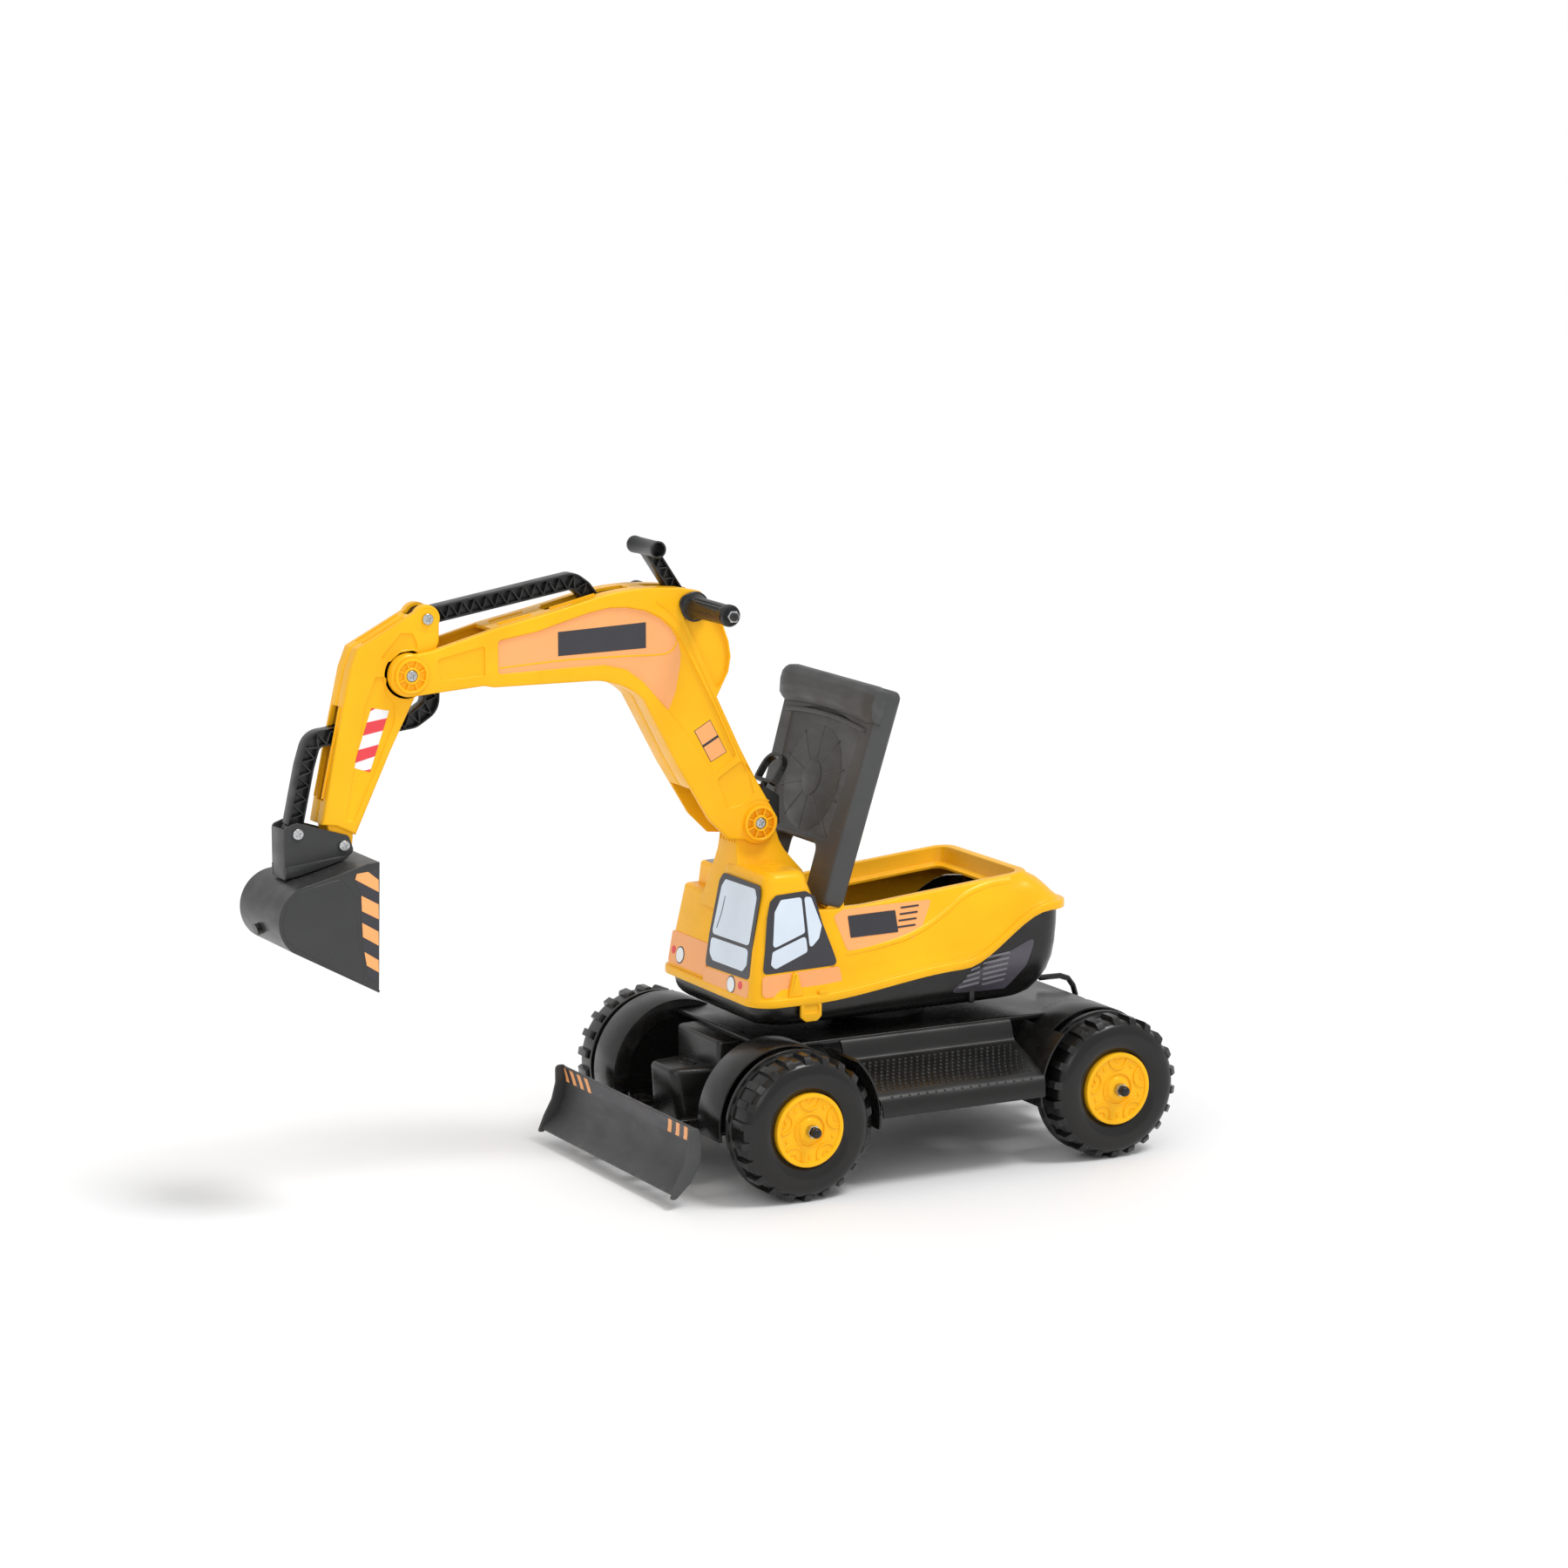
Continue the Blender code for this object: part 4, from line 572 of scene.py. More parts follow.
# ---------------------------------------------------------------- chassis
def chassis():
    """Trunk, nose, deck, tongue, aprons, mudguards and foot boards."""
    bm = bmesh.new()
    x, y = (-0.052, 0.052), (-0.03, 0.432)
    def within(margin):
        return (x[0] + margin, x[1] - margin), (y[0] + margin, y[1] - margin)

    rings = [box_ring(*within(WALL), 0.147, 0.004), box_ring(*within(WALL), 0.0556, 0.004),
             box_ring(*within(0.0008), 0.055, 0.0065), box_ring(x, y, 0.0565, 0.007)]
    for i in range(5):
        a = math.radians(90 * i / 4)
        rings.append(box_ring(*within(0.004 * (1 - math.cos(a))), 0.148 + 0.004 * math.sin(a), 0.007))
    skin(bm, rings)

    low = rounded([(-0.036, -0.07), (0.036, -0.07), (0.05, 0.004), (-0.05, 0.004)], 0.013, 6)
    high = rounded([(-0.028, -0.0775), (0.028, -0.0775), (0.046, 0.004), (-0.046, 0.004)], 0.013, 6)
    nose = []
    for t, margin in ((0.0, 0.002), (0.02, 0.0), (0.5, 0.0), (0.9, 0.0), (0.95, 0.0009), (0.985, 0.0025),
                      (1.0, 0.0048)):
        line = [(a[0] * (1 - t) + b[0] * t, a[1] * (1 - t) + b[1] * t) for a, b in zip(low, high)]
        line = inset(line, margin) if margin else line
        nose.append([(u, v, 0.059 + 0.06 * t) for u, v in line])
    skin(bm, nose)
    oval = [(0.015 * math.cos(a), -0.042 + 0.0085 * math.sin(a))
            for a in (2 * math.pi * i / 32 for i in range(32))]
    relief(bm, oval, 0.1185, 0.1202, 0.0006, [(inset(oval, 0.0016), 0.0008, 0.0004)], upright)
    for i in range(-2, 3):
        x0 = 0.0042 * i
        rib(bm, (x0 - 0.0012, -0.047), (x0 + 0.0012, -0.037), 0.0016, 0.1188, 0.1199, upright)

    deck = rounded([(-0.118, -0.004), (0.118, -0.004), (0.118, 0.4), (0.08, 0.436), (-0.08, 0.436),
                    (-0.118, 0.4)], 0.022, 6)
    solid(bm, deck, 0.15, DECK_Z, 0.0018, upright)
    lathe(bm, [(0.057, 0.15), (0.057, 0.165), (0.0562, 0.1662), (0.055, 0.1665), (0.006, 0.1665)],
          (0, PIVOT_Y), 64, False, upright)
    tongue = rounded([(-0.026, 0.42), (0.026, 0.42), (0.018, 0.487), (-0.018, 0.487)], 0.01, 6)
    solid(bm, tongue, 0.108, 0.122, 0.002, upright)
    lathe(bm, [(0.0045, 0.115), (0.0085, 0.115), (0.0085, 0.1332), (0.0078, 0.134), (0.0045, 0.134)],
          (0, HITCH_Y), 32, True, upright)
    for sign in SIDES.values():
        side = mirrored(sign, upright)
        solid(bm, rounded([(0.043, -0.095), (0.057, -0.095), (0.057, -0.02), (0.043, -0.02)], 0.002, 3),
              0.05, 0.068, 0.002, side)
        apron = rounded([(0.03, -0.074), (0.06, -0.078), (0.112, -0.064), (0.112, -0.03),
                         (0.03, -0.02)], 0.008, 5)
        solid(bm, apron, 0.06, 0.064, 0.0012, side)
        for k in range(3):
            rib(bm, (0.06 + 0.016 * k, -0.07), (0.064 + 0.014 * k, -0.032), 0.0022, 0.062, 0.0682, side)
        for y in AXLES.values():
            lathe(bm, [(0.0112, 0.045), (0.012, 0.046), (0.012, 0.1642), (0.0112, 0.1652)],
                  (y, WHEEL_RADIUS), 32, False, mirrored(sign))
            mudguard(bm, y, sign)
        foot_board(bm, sign)
        end_wall(bm, 0.0, sign, -8, 46)
        end_wall(bm, AXLES["rear"], sign, 134, 188)
    piece("chassis_moulding", bm, "base", BLACK, ["chassis"])


def mudguard(bm, y, sign):
    """Arched wheel guard with a rolled outer lip and a dished inner wall."""
    centre = (y, WHEEL_RADIUS)
    outer = arc(centre, 0.0836, -12, 192, 44)
    band = outer + arc(centre, 0.0806, 192, -12, 44)
    solid(bm, band, 0.105, 0.156, 0.0012, mirrored(sign), 2)
    wall = arc(centre, 0.0834, -12, 192, 44)
    dish = arc(centre, 0.064, -6, 186, 32)
    relief(bm, wall, 0.1068, 0.104, 0.001, [(dish, 0.0016, 0.0012)], mirrored(sign), (), 2)


BOARD = [(0.113, 0.1548), (0.1185, 0.152), (0.1225, 0.145), (0.1262, 0.1345), (0.132, 0.1292),
         (0.15, 0.123), (0.17, 0.1162), (0.188, 0.11), (0.1975, 0.1055), (0.203, 0.0985),
         (0.2052, 0.09), (0.2058, 0.083)]


BOARD_SPAN = (0.088, 0.308)
DOT_SLOPE = ((0.1345, 0.1283), (0.193, 0.1083))
DOT_ROWS = 9
DOT_PITCH = 0.0076


def board_ends(x, z):
    """Where the foot board starts and stops along y, clear of the wheels."""
    start, end = BOARD_SPAN
    if x < WHEEL_INNER_X - 0.01:
        return start, end
    reach = math.sqrt(max(0.0, (WHEEL_RADIUS + 0.012) ** 2 - (z - WHEEL_RADIUS) ** 2))
    return max(start, reach), min(end, AXLES["rear"] - reach)


def foot_board(bm, sign):
    """Sloping step between the wheels with rows of raised dots."""
    path = smooth_path(BOARD, 4)
    top, low = beside(path, WALL / 2), beside(path, -WALL / 2)
    steps = 28
    sheets = []
    for line in (top, low):
        rows = []
        for x, z in line:
            start, end = board_ends(x, z)
            rows.append([bm.verts.new((sign * x, start + (end - start) * i / steps, z))
                         for i in range(steps + 1)])
        for a, b in zip(rows, rows[1:]):
            for i in range(steps):
                bm.faces.new((a[i], a[i + 1], b[i + 1], b[i]))
        sheets.append(rows)
    first, second = sheets
    for k in range(len(first) - 1):
        bm.faces.new((first[k][0], first[k + 1][0], second[k + 1][0], second[k][0]))
        bm.faces.new((first[k][-1], first[k + 1][-1], second[k + 1][-1], second[k][-1]))
    for i in range(steps):
        bm.faces.new((first[0][i], first[0][i + 1], second[0][i + 1], second[0][i]))
        bm.faces.new((first[-1][i], first[-1][i + 1], second[-1][i + 1], second[-1][i]))

    (x_high, z_high), (x_low, z_low) = DOT_SLOPE
    for r in range(DOT_ROWS):
        share = (r + 0.5) / DOT_ROWS
        x0, z0 = x_high + (x_low - x_high) * share, z_high + (z_low - z_high) * share
        start, end = board_ends(x0, z0)
        y = start + 0.012 + (r % 2) * DOT_PITCH / 2
        while y < end - 0.01:
            stud(bm, sign, (x0, y, z0 + 0.0014))
            y += DOT_PITCH
    for i in range(17):
        y = 0.108 + 0.0112 * i
        stud(bm, sign, (0.2003, y, 0.1035), 0.0018)


def stud(bm, sign, centre, radius=0.0019):
    """A low rounded dot, flattened on the slope."""
    x, y, z = centre
    sides = 7
    angles = [2 * math.pi * k / sides for k in range(sides)]
    skin(bm, [[(sign * (x + s * radius * math.cos(a)), y + s * 0.0022 * math.sin(a),
                z + up - 0.35 * s * radius * math.cos(a)) for a in angles]
              for s, up in ((1.0, -0.0008), (0.92, 0.0008), (0.55, 0.0015))])


def end_wall(bm, y, sign, start, end):
    """Splash wall round the inner side of a wheel, from one angle to another."""
    centre = (y, WHEEL_RADIUS)
    outline = arc(centre, 0.0957, start, end, 16) + arc(centre, 0.0927, end, start, 16)
    solid(bm, outline, 0.116, 0.2, 0.0012, mirrored(sign), 2)


# ---------------------------------------------------------------- blade
BLADE = smooth_path([(-0.1165, 0.087), (-0.114, 0.069), (-0.1165, 0.05), (-0.127, 0.032),
                     (-0.145, 0.0165)], 6)


def blade_front(u, v, h):
    """A point h in front of the blade at x = u, z = v."""
    for (y0, z0), (y1, z1) in zip(BLADE, BLADE[1:]):
        if z1 <= v <= z0:
            y = y0 + (y1 - y0) * (z0 - v) / (z0 - z1)
            return (u, y - WALL / 2 - h, v)
    return (u, BLADE[0][0] - WALL / 2 - h, v)


def dozer_blade():
    bm = bmesh.new()
    solid(bm, ribbon(BLADE, WALL), -0.168, 0.168, 0.0006, across, 2)
    end = rounded([(-0.127, 0.089), (-0.114, 0.089), (-0.111, 0.069), (-0.1135, 0.048),
                   (-0.1245, 0.029), (-0.143, 0.012), (-0.15, 0.013), (-0.142, 0.032),
                   (-0.132, 0.05), (-0.127, 0.069)], 0.006, 5)
    for sign in SIDES.values():
        solid(bm, end, 0.1655, 0.169, 0.0012, mirrored(sign))
        lug = rounded([(-0.114, 0.051), (-0.0953, 0.051), (-0.0953, 0.067), (-0.113, 0.067)], 0.002, 3)
        solid(bm, lug, 0.044, 0.056, 0.001, mirrored(sign))
        for x in (0.09, 0.13):
            brace = [(-0.113, 0.084), (-0.1085, 0.07), (-0.1105, 0.048), (-0.121, 0.031), (-0.1215, 0.034),
                     (-0.115, 0.05)]
            solid(bm, brace, x - 0.001, x + 0.001, 0.0003, mirrored(sign), 2)
    piece("blade_moulding", bm, "base", GREY, ["dozer_blade"])

    band = bmesh.new()
    rows = [(1, 0.071 + 0.0027 * k) for k in range(1, 6)]
    sticker(band, [(-0.163, 0.069), (0.163, 0.069), (0.163, 0.0862), (-0.163, 0.0862)],
            blade_front, 0.0003, rows)
    piece("blade_band", band, "base", DARK)
    stripes = bmesh.new()
    for sign in SIDES.values():
        for k in range(4):
            x = 0.0955 + 0.019 * k
            shape = [(x, 0.0698), (x + 0.0085, 0.0698), (x + 0.015, 0.0856), (x + 0.0065, 0.0856)]
            shape = [(sign * min(u, 0.1625), v) for u, v in shape]
            sticker(stripes, shape, blade_front, 0.0006, rows)
    piece("blade_stripes", stripes, "base", ORANGE)


# ---------------------------------------------------------------- upper body
def smooth_step(t):
    t = min(1.0, max(0.0, t))
    return t * t * (3 - 2 * t)


def split_z(y):
    """Height of the seam between the black tub and the yellow shell."""
    return 0.199 + 0.019 * smooth_step((y - 0.05) / 0.2) + 0.057 * smooth_step((y - 0.245) / 0.115)


def rim_z(y):
    """Height of the rim that the seat closes on."""
    return 0.299 + 0.0864 * max(0.0, y - 0.13)


def body_ring(half, front, rear, corner, height):
    """A rounded rectangle seen from above; height(y) gives each point's z."""
    corners = [(half, rear, 0), (-half, rear, 90), (-half, front, 180), (half, front, 270)]
    ring = []
    for x, y, start in corners:
        cx = x - math.copysign(corner, x)
        cy = y - corner if y == rear else y + corner
        ring += [(px, py, height(py)) for px, py in arc((cx, cy), corner, start, start + 90, 7)]
    result = []
    for here, there in zip(ring, ring[1:] + ring[:1]):
        result.append(here)
        if abs(here[1] - there[1]) > 0.08:
            for k in range(1, 30):
                y = here[1] + (there[1] - here[1]) * k / 30
                result.append((here[0] + (there[0] - here[0]) * k / 30, y, height(y)))
        elif abs(here[0] - there[0]) > 0.08:
            for k in range(1, 8):
                x = here[0] + (there[0] - here[0]) * k / 8
                result.append((x, here[1], here[2]))
    return result


TUB_ROWS = ((1.0, 0.0, 0.03), (0.82, 0.0002, 0.03), (0.62, 0.001, 0.03), (0.45, 0.0025, 0.03),
            (0.3, 0.0052, 0.031), (0.18, 0.009, 0.032), (0.08, 0.014, 0.032), (0.03, 0.019, 0.033),
            (0.0, 0.026, 0.034))


def tub_side(u, v, h):
    """A point h outside the tub's side wall at y = u, z = v."""
    share = (v - TUB_FLOOR_Z) / (split_z(u) - TUB_FLOOR_Z)
    for (s1, k1, _), (s0, k0, _) in zip(TUB_ROWS, TUB_ROWS[1:]):
        if s0 <= share <= s1:
            shrink = k0 + (k1 - k0) * (share - s0) / (s1 - s0)
            return (0.115 - shrink + h, u, v)
    return (0.115 + h, u, v)


def lower_tub():
    """Open black bowl under the yellow shell."""
    def level(share):
        return lambda y: TUB_FLOOR_Z + (split_z(y) - 0.0003 - TUB_FLOOR_Z) * share

    def bowl(wall):
        return [body_ring(0.115 - shrink - wall, BODY_FRONT + 0.002 + shrink + wall,
                          BODY_REAR + 0.006 - 1.8 * shrink - wall, corner, level(share))
                for share, shrink, corner in TUB_ROWS]

    bm = bmesh.new()
    rings, inner = bowl(0.0), bowl(SHELL)
    lifted = [[(x, y, max(z, TUB_FLOOR_Z + SHELL)) for x, y, z in ring] for ring in inner]
    skin(bm, lifted[::-1] + rings)
    for sign in SIDES.values():
        for y in (0.062, 0.262):
            rib(bm, (0.1035, y), (0.112, y), 0.006, 0.176, 0.193, mirrored(sign, upright), 0.0012)
    piece("tub_moulding", bm, "upper_body", BLACK, ["lower_tub"], 40)


FLANGE_TOP = 0.01
WALL_ROWS = ((0.0, 0.1165), (0.45, 0.11), (1.0, 0.096))


def shell_side(u, v, h):
    """A point h outside the yellow side wall at y = u, z = v."""
    base = split_z(u) + FLANGE_TOP
    share = (v - base) / (rim_z(u) - base)
    for (s0, x0), (s1, x1) in zip(WALL_ROWS, WALL_ROWS[1:]):
        if share <= s1:
            return (x0 + (x1 - x0) * (share - s0) / (s1 - s0) + h, u, v)
    return (0.096 + h, u, v)


CAB = [((-0.012, 0.115), (-0.0185, 0.096), 0.205), ((-0.01, 0.1135), (-0.012, 0.085), 0.262),
       ((-0.004, 0.106), (0.003, 0.057), 0.347)]
ENGINE = [((-0.108, -0.008), (-0.015, 0.096), 0.205), ((-0.1, -0.008), (0.003, 0.082), 0.303)]


def between(levels, v, pick):
    """A level's value at height v, from straight walls between the levels."""
    for a, b in zip(levels, levels[1:]):
        if v <= b[2] or b is levels[-1]:
            t = (v - a[2]) / (b[2] - a[2])
            return pick(a) * (1 - t) + pick(b) * t


def cab_side(u, v, h):
    return (between(CAB, v, lambda level: level[0][1]) + h, u, v)


def cab_front(u, v, h):
    return (u, between(CAB, v, lambda level: level[1][0]) - h, v)


def engine_front(u, v, h):
    return (u, between(ENGINE, v, lambda level: level[1][0]) - h, v)


def upper_shell():
    """Yellow body: flange, walls, rim, cab, engine box, boom tower and snap clips."""
    def above(amount):
        return lambda y: split_z(y) + amount

    def middle(share):
        return lambda y: (split_z(y) + FLANGE_TOP) * (1 - share) + rim_z(y) * share

    def rim_level(drop):
        return lambda y: rim_z(y) - drop

    def flange(grow, z):
        return body_ring(FLANGE_HALF - 0.0015 + grow, BODY_FRONT - 0.005 - grow, BODY_REAR + 0.0105 + grow,
                         0.029 + grow, above(z))

    bm = bmesh.new()
    outside = [
        flange(0.0, 0.0003), flange(0.0012, 0.0007), flange(0.0015, 0.0016), flange(0.0015, 0.0078),
        flange(0.001, 0.0092), flange(0.0, 0.0099), flange(-0.002, 0.0101),
        body_ring(BODY_HALF + 0.001, BODY_FRONT - 0.001, BODY_REAR + 0.006, 0.0275, above(0.0104)),
        body_ring(BODY_HALF - 0.0002, BODY_FRONT, BODY_REAR + 0.0048, 0.027, above(0.012)),
        body_ring(0.1135, BODY_FRONT + 0.0035, 0.377, 0.027, middle(0.22)),
        body_ring(0.11, BODY_FRONT + 0.008, 0.37, 0.027, middle(0.45)),
        body_ring(0.1039, BODY_FRONT + 0.012, 0.3612, 0.025, middle(0.7)),
        body_ring(RIM_HALF + 0.0022, BODY_FRONT + 0.0165, 0.3516, 0.023, rim_level(0.004)),
        body_ring(RIM_HALF + 0.0014, BODY_FRONT + 0.017, 0.3503, 0.022, rim_level(0.0018)),
        body_ring(RIM_HALF + 0.0002, BODY_FRONT + 0.018, 0.349, 0.021, rim_level(0.0004)),
        body_ring(RIM_HALF - 0.0014, BODY_FRONT + 0.0195, 0.3475, 0.02, rim_level(0.0)),
        body_ring(RIM_HALF - 0.007, 0.012, 0.341, 0.017, rim_level(0.0)),
        body_ring(RIM_HALF - 0.0086, 0.0135, 0.3396, 0.016, rim_level(0.0006)),
        body_ring(RIM_HALF - 0.0092, 0.014, 0.339, 0.0155, rim_level(0.0024)),
        body_ring(RIM_HALF - 0.01, 0.015, 0.338, 0.015, rim_level(0.0165)),
        body_ring(RIM_HALF - 0.011, 0.016, 0.337, 0.014, rim_level(0.0178)),
        body_ring(RIM_HALF - 0.022, 0.024, 0.326, 0.012, rim_level(0.019)),
    ]
    inside = [
        body_ring(RIM_HALF - 0.022, 0.024, 0.326, 0.012, rim_level(0.0216)),
        body_ring(RIM_HALF - 0.006, 0.013, 0.34, 0.018, rim_level(0.0212)),
        body_ring(0.1066, BODY_FRONT + 0.011, 0.366, 0.024, middle(0.45)),
        body_ring(BODY_HALF - 0.003, BODY_FRONT + 0.003, BODY_REAR + 0.002, 0.025, above(0.009)),
        body_ring(BODY_HALF - 0.0032, BODY_FRONT + 0.003, BODY_REAR + 0.002, 0.025, above(0.0003)),
    ]
    rows = skin(bm, outside + inside, False, False)
    bridge(bm, rows[-1], rows[0])

    round_box(bm, [((-0.093, 0.093), (0.006, 0.089), 0.285), ((-0.092, 0.092), (0.006, 0.088), 0.299)],
              0.004, 0.0015)
    round_box(bm, CAB, 0.015, 0.012, 8)
    round_box(bm, ENGINE, 0.008, 0.005, 6)
    round_box(bm, [((-0.096, -0.008), (0.018, 0.071), 0.295), ((-0.09, -0.008), (0.019, 0.068), 0.329)],
              0.007, 0.004, 6)
    foot = [((-0.0455, 0.0455), (-0.004, 0.096), 0.29), ((-0.04, 0.04), (0.0006, 0.0925), 0.31),
            ((-0.0335, 0.0335), (0.005, 0.0875), 0.332), ((-0.0285, 0.0285), (0.0072, 0.077), 0.345),
            ((-0.0245, 0.0245), (0.0085, 0.069), 0.356), ((-TOWER_HALF, TOWER_HALF), (0.009, 0.064), 0.366),
            ((-TOWER_HALF, TOWER_HALF), (0.0125, 0.0555), 0.392)]
    round_box(bm, foot, 0.003, 0.002, 4)
    lathe(bm, [(0.0205, -TOWER_HALF), (0.0215, 0.001 - TOWER_HALF), (0.0215, TOWER_HALF - 0.001),
               (0.0205, TOWER_HALF)], BOOM_PIVOT, 48)
    for k in range(6):
        x = -0.0165 + 0.0066 * k
        solid(bm, rounded([(0.0155, 0.364), (0.01, 0.364), (0.0078, 0.368), (0.009, 0.396),
                           (0.0155, 0.402)], 0.002, 3), x - 0.0011, x + 0.0011, 0.0006, across, 2)
    for sign in SIDES.values():
        side = mirrored(sign)
        for near, far in ((0.0465, 0.053), (0.0885, 0.094)):
            ear = rounded([(0.084, 0.287), (0.1065, 0.287), (0.1065, 0.307), (0.093, 0.307),
                           (0.084, 0.3)], 0.005, 5)
            solid(bm, ear, near, far, 0.0008, side)
        clip = rounded([(0.037, 0.202), (0.037, 0.185), (0.043, 0.18), (0.057, 0.18),
                        (0.063, 0.185), (0.063, 0.202)], 0.004, 4)
        window = rounded([(0.041, 0.199), (0.041, 0.189), (0.059, 0.189), (0.059, 0.199)], 0.002, 3)
        relief(bm, clip, 0.1176, 0.1222, 0.001, [(window, 0.0016, 0.0006)], side)
        fin = [(0.0225, 0.208), (0.0425, 0.208), (0.0352, 0.2345), (0.032, 0.2375), (0.029, 0.2345)]
        solid(bm, rounded(fin, 0.003, 4), 0.112, 0.1195, 0.0022, side)
        solid(bm, rounded([(0.06, 0.207), (0.071, 0.207), (0.071, 0.2135), (0.06, 0.2135)],
                          0.002, 3), 0.115, 0.1224, 0.001, side)
        swoosh(bm, mirrored(sign, shell_side))
    piece("shell_moulding", bm, "upper_body", YELLOW, ["upper_shell"], 38)


def swoosh(bm, wall):
    """Soft raised line that sweeps up along the side wall to the rear."""
    path = smooth_path([(0.1, 0.249), (0.14, 0.2535), (0.175, 0.26), (0.205, 0.27),
                        (0.233, 0.284), (0.26, 0.299), (0.29, 0.307), (0.32, 0.309)], 6)
    rings = []
    for index, (y, z) in enumerate(path):
        size = 0.0004 + 0.0016 * math.sin(math.pi * index / (len(path) - 1))
        levels = ((-0.0045, -0.001), (-0.0022, size * 0.75), (0.0, size), (0.0022, size * 0.75),
                  (0.0045, -0.001))
        rings.append([wall(y, z + dz, dx) for dz, dx in levels])
    skin(bm, rings)


def body_decals():
    """Stickers on the near and far walls, the windows and the lamps."""
    bends = [(1, 0.262)]
    orange, dark, glass = bmesh.new(), bmesh.new(), bmesh.new()
    side_rows = [(0, 0.105 + 0.012 * k) for k in range(9)] + [(1, 0.25 + 0.006 * k) for k in range(9)]
    panel = rounded([(0.09, 0.291), (0.104, 0.297), (0.214, 0.298), (0.213, 0.293),
                     (0.198, 0.268), (0.186, 0.259), (0.102, 0.252)], 0.005, 5)
    for sign in SIDES.values():
        wall = mirrored(sign, shell_side)
        sticker(orange, panel, wall, 0.0005, side_rows)
        for k in range(4):
            y, z = 0.186 - 0.0025 * k, 0.2915 - 0.0068 * k
            bar = rounded([(y - 0.0105, z), (y + 0.0125, z + 0.0008), (y + 0.0125, z + 0.0026),
                           (y - 0.0105, z + 0.0018)], 0.0008, 3)
            sticker(dark, bar, wall, 0.0012, side_rows)
        plate = rounded([(0.108, 0.266), (0.168, 0.267), (0.168, 0.2905), (0.108, 0.2895)], 0.001, 3)
        sticker(dark, plate, wall, 0.0012, side_rows)
    sticker(dark, rounded([(-0.007, 0.237), (0.0003, 0.2982), (0.005, 0.317), (0.013, 0.3235),
                           (0.05, 0.325), (0.061, 0.318), (0.069, 0.2883), (0.0876, 0.239)],
                          0.006, 5), cab_side, 0.0005, bends)
    for pane in ([(0.0098, 0.305), (0.018, 0.318), (0.044, 0.319), (0.0468, 0.279), (0.0058, 0.265)],
                 [(0.0052, 0.2615), (0.0475, 0.2755), (0.049, 0.2575), (0.0085, 0.242), (0.003, 0.247)],
                 [(0.0475, 0.319), (0.056, 0.318), (0.068, 0.285), (0.064, 0.2715), (0.052, 0.26)]):
        sticker(glass, rounded(pane, 0.004, 5), cab_side, 0.0008, bends)
    sticker(orange, rounded([(-0.0075, 0.235), (0.089, 0.237), (0.0935, 0.216), (0.09, 0.212),
                             (-0.004, 0.211), (-0.008, 0.215)], 0.004, 4), cab_side, 0.0005, bends)

    sticker(dark, rounded([(-0.006, 0.226), (0.001, 0.324), (0.008, 0.333), (0.094, 0.333),
                           (0.098, 0.323), (0.0985, 0.229)], 0.007, 6), cab_front, 0.0005, bends)
    for pane in ([(0.003, 0.264), (0.0085, 0.318), (0.015, 0.327), (0.085, 0.328), (0.0915, 0.319),
                  (0.0905, 0.266)],
                 [(0.0025, 0.26), (0.0905, 0.262), (0.09, 0.244), (0.082, 0.236), (0.011, 0.235),
                  (0.002, 0.242)]):
        sticker(glass, rounded(pane, 0.006, 6), cab_front, 0.0008, bends)
    wiper = ribbon(smooth_path([(0.012, 0.272), (0.018, 0.29), (0.0205, 0.309)], 5), 0.001)
    sticker(dark, wiper, cab_front, 0.0011)
    sticker(orange, rounded([(-0.007, 0.2245), (0.099, 0.2275), (0.099, 0.211), (0.094, 0.207),
                             (-0.008, 0.207)], 0.004, 4), cab_front, 0.0005, bends)
    sticker(orange, rounded([(-0.103, 0.248), (-0.013, 0.248), (-0.013, 0.212), (-0.103, 0.212)],
                            0.004, 4), engine_front, 0.0005)
    piece("body_orange_stickers", orange, "upper_body", ORANGE)
    piece("body_dark_stickers", dark, "upper_body", DARK)
    piece("body_window_stickers", glass, "upper_body", GLASS)

    lens, ring, small = bmesh.new(), bmesh.new(), bmesh.new()
    for centre, front, tiny in (((0.059, 0.217), cab_front, (0.08, 0.22)),
                                ((-0.076, 0.224), engine_front, (-0.093, 0.227))):
        sticker(ring, circle(centre, 0.0098, 36), front, 0.0008)
        sticker(lens, circle(centre, 0.0084, 36), front, 0.0012)
        sticker(small, circle(tiny, 0.0045, 24), front, 0.0009)
    piece("lamp_rims", ring, "upper_body", DARK)
    piece("lamp_lenses", lens, "upper_body", LENS)
    piece("marker_lamps", small, "upper_body", RED)

    patch = bmesh.new()
    solid(patch, rounded([(-0.084, 0.024), (-0.027, 0.024), (-0.027, 0.063), (-0.084, 0.063)],
                         0.004, 4), 0.3286, 0.3296, 0.0003, upright, 2)
    piece("engine_grip_patch", patch, "upper_body", PATCH)

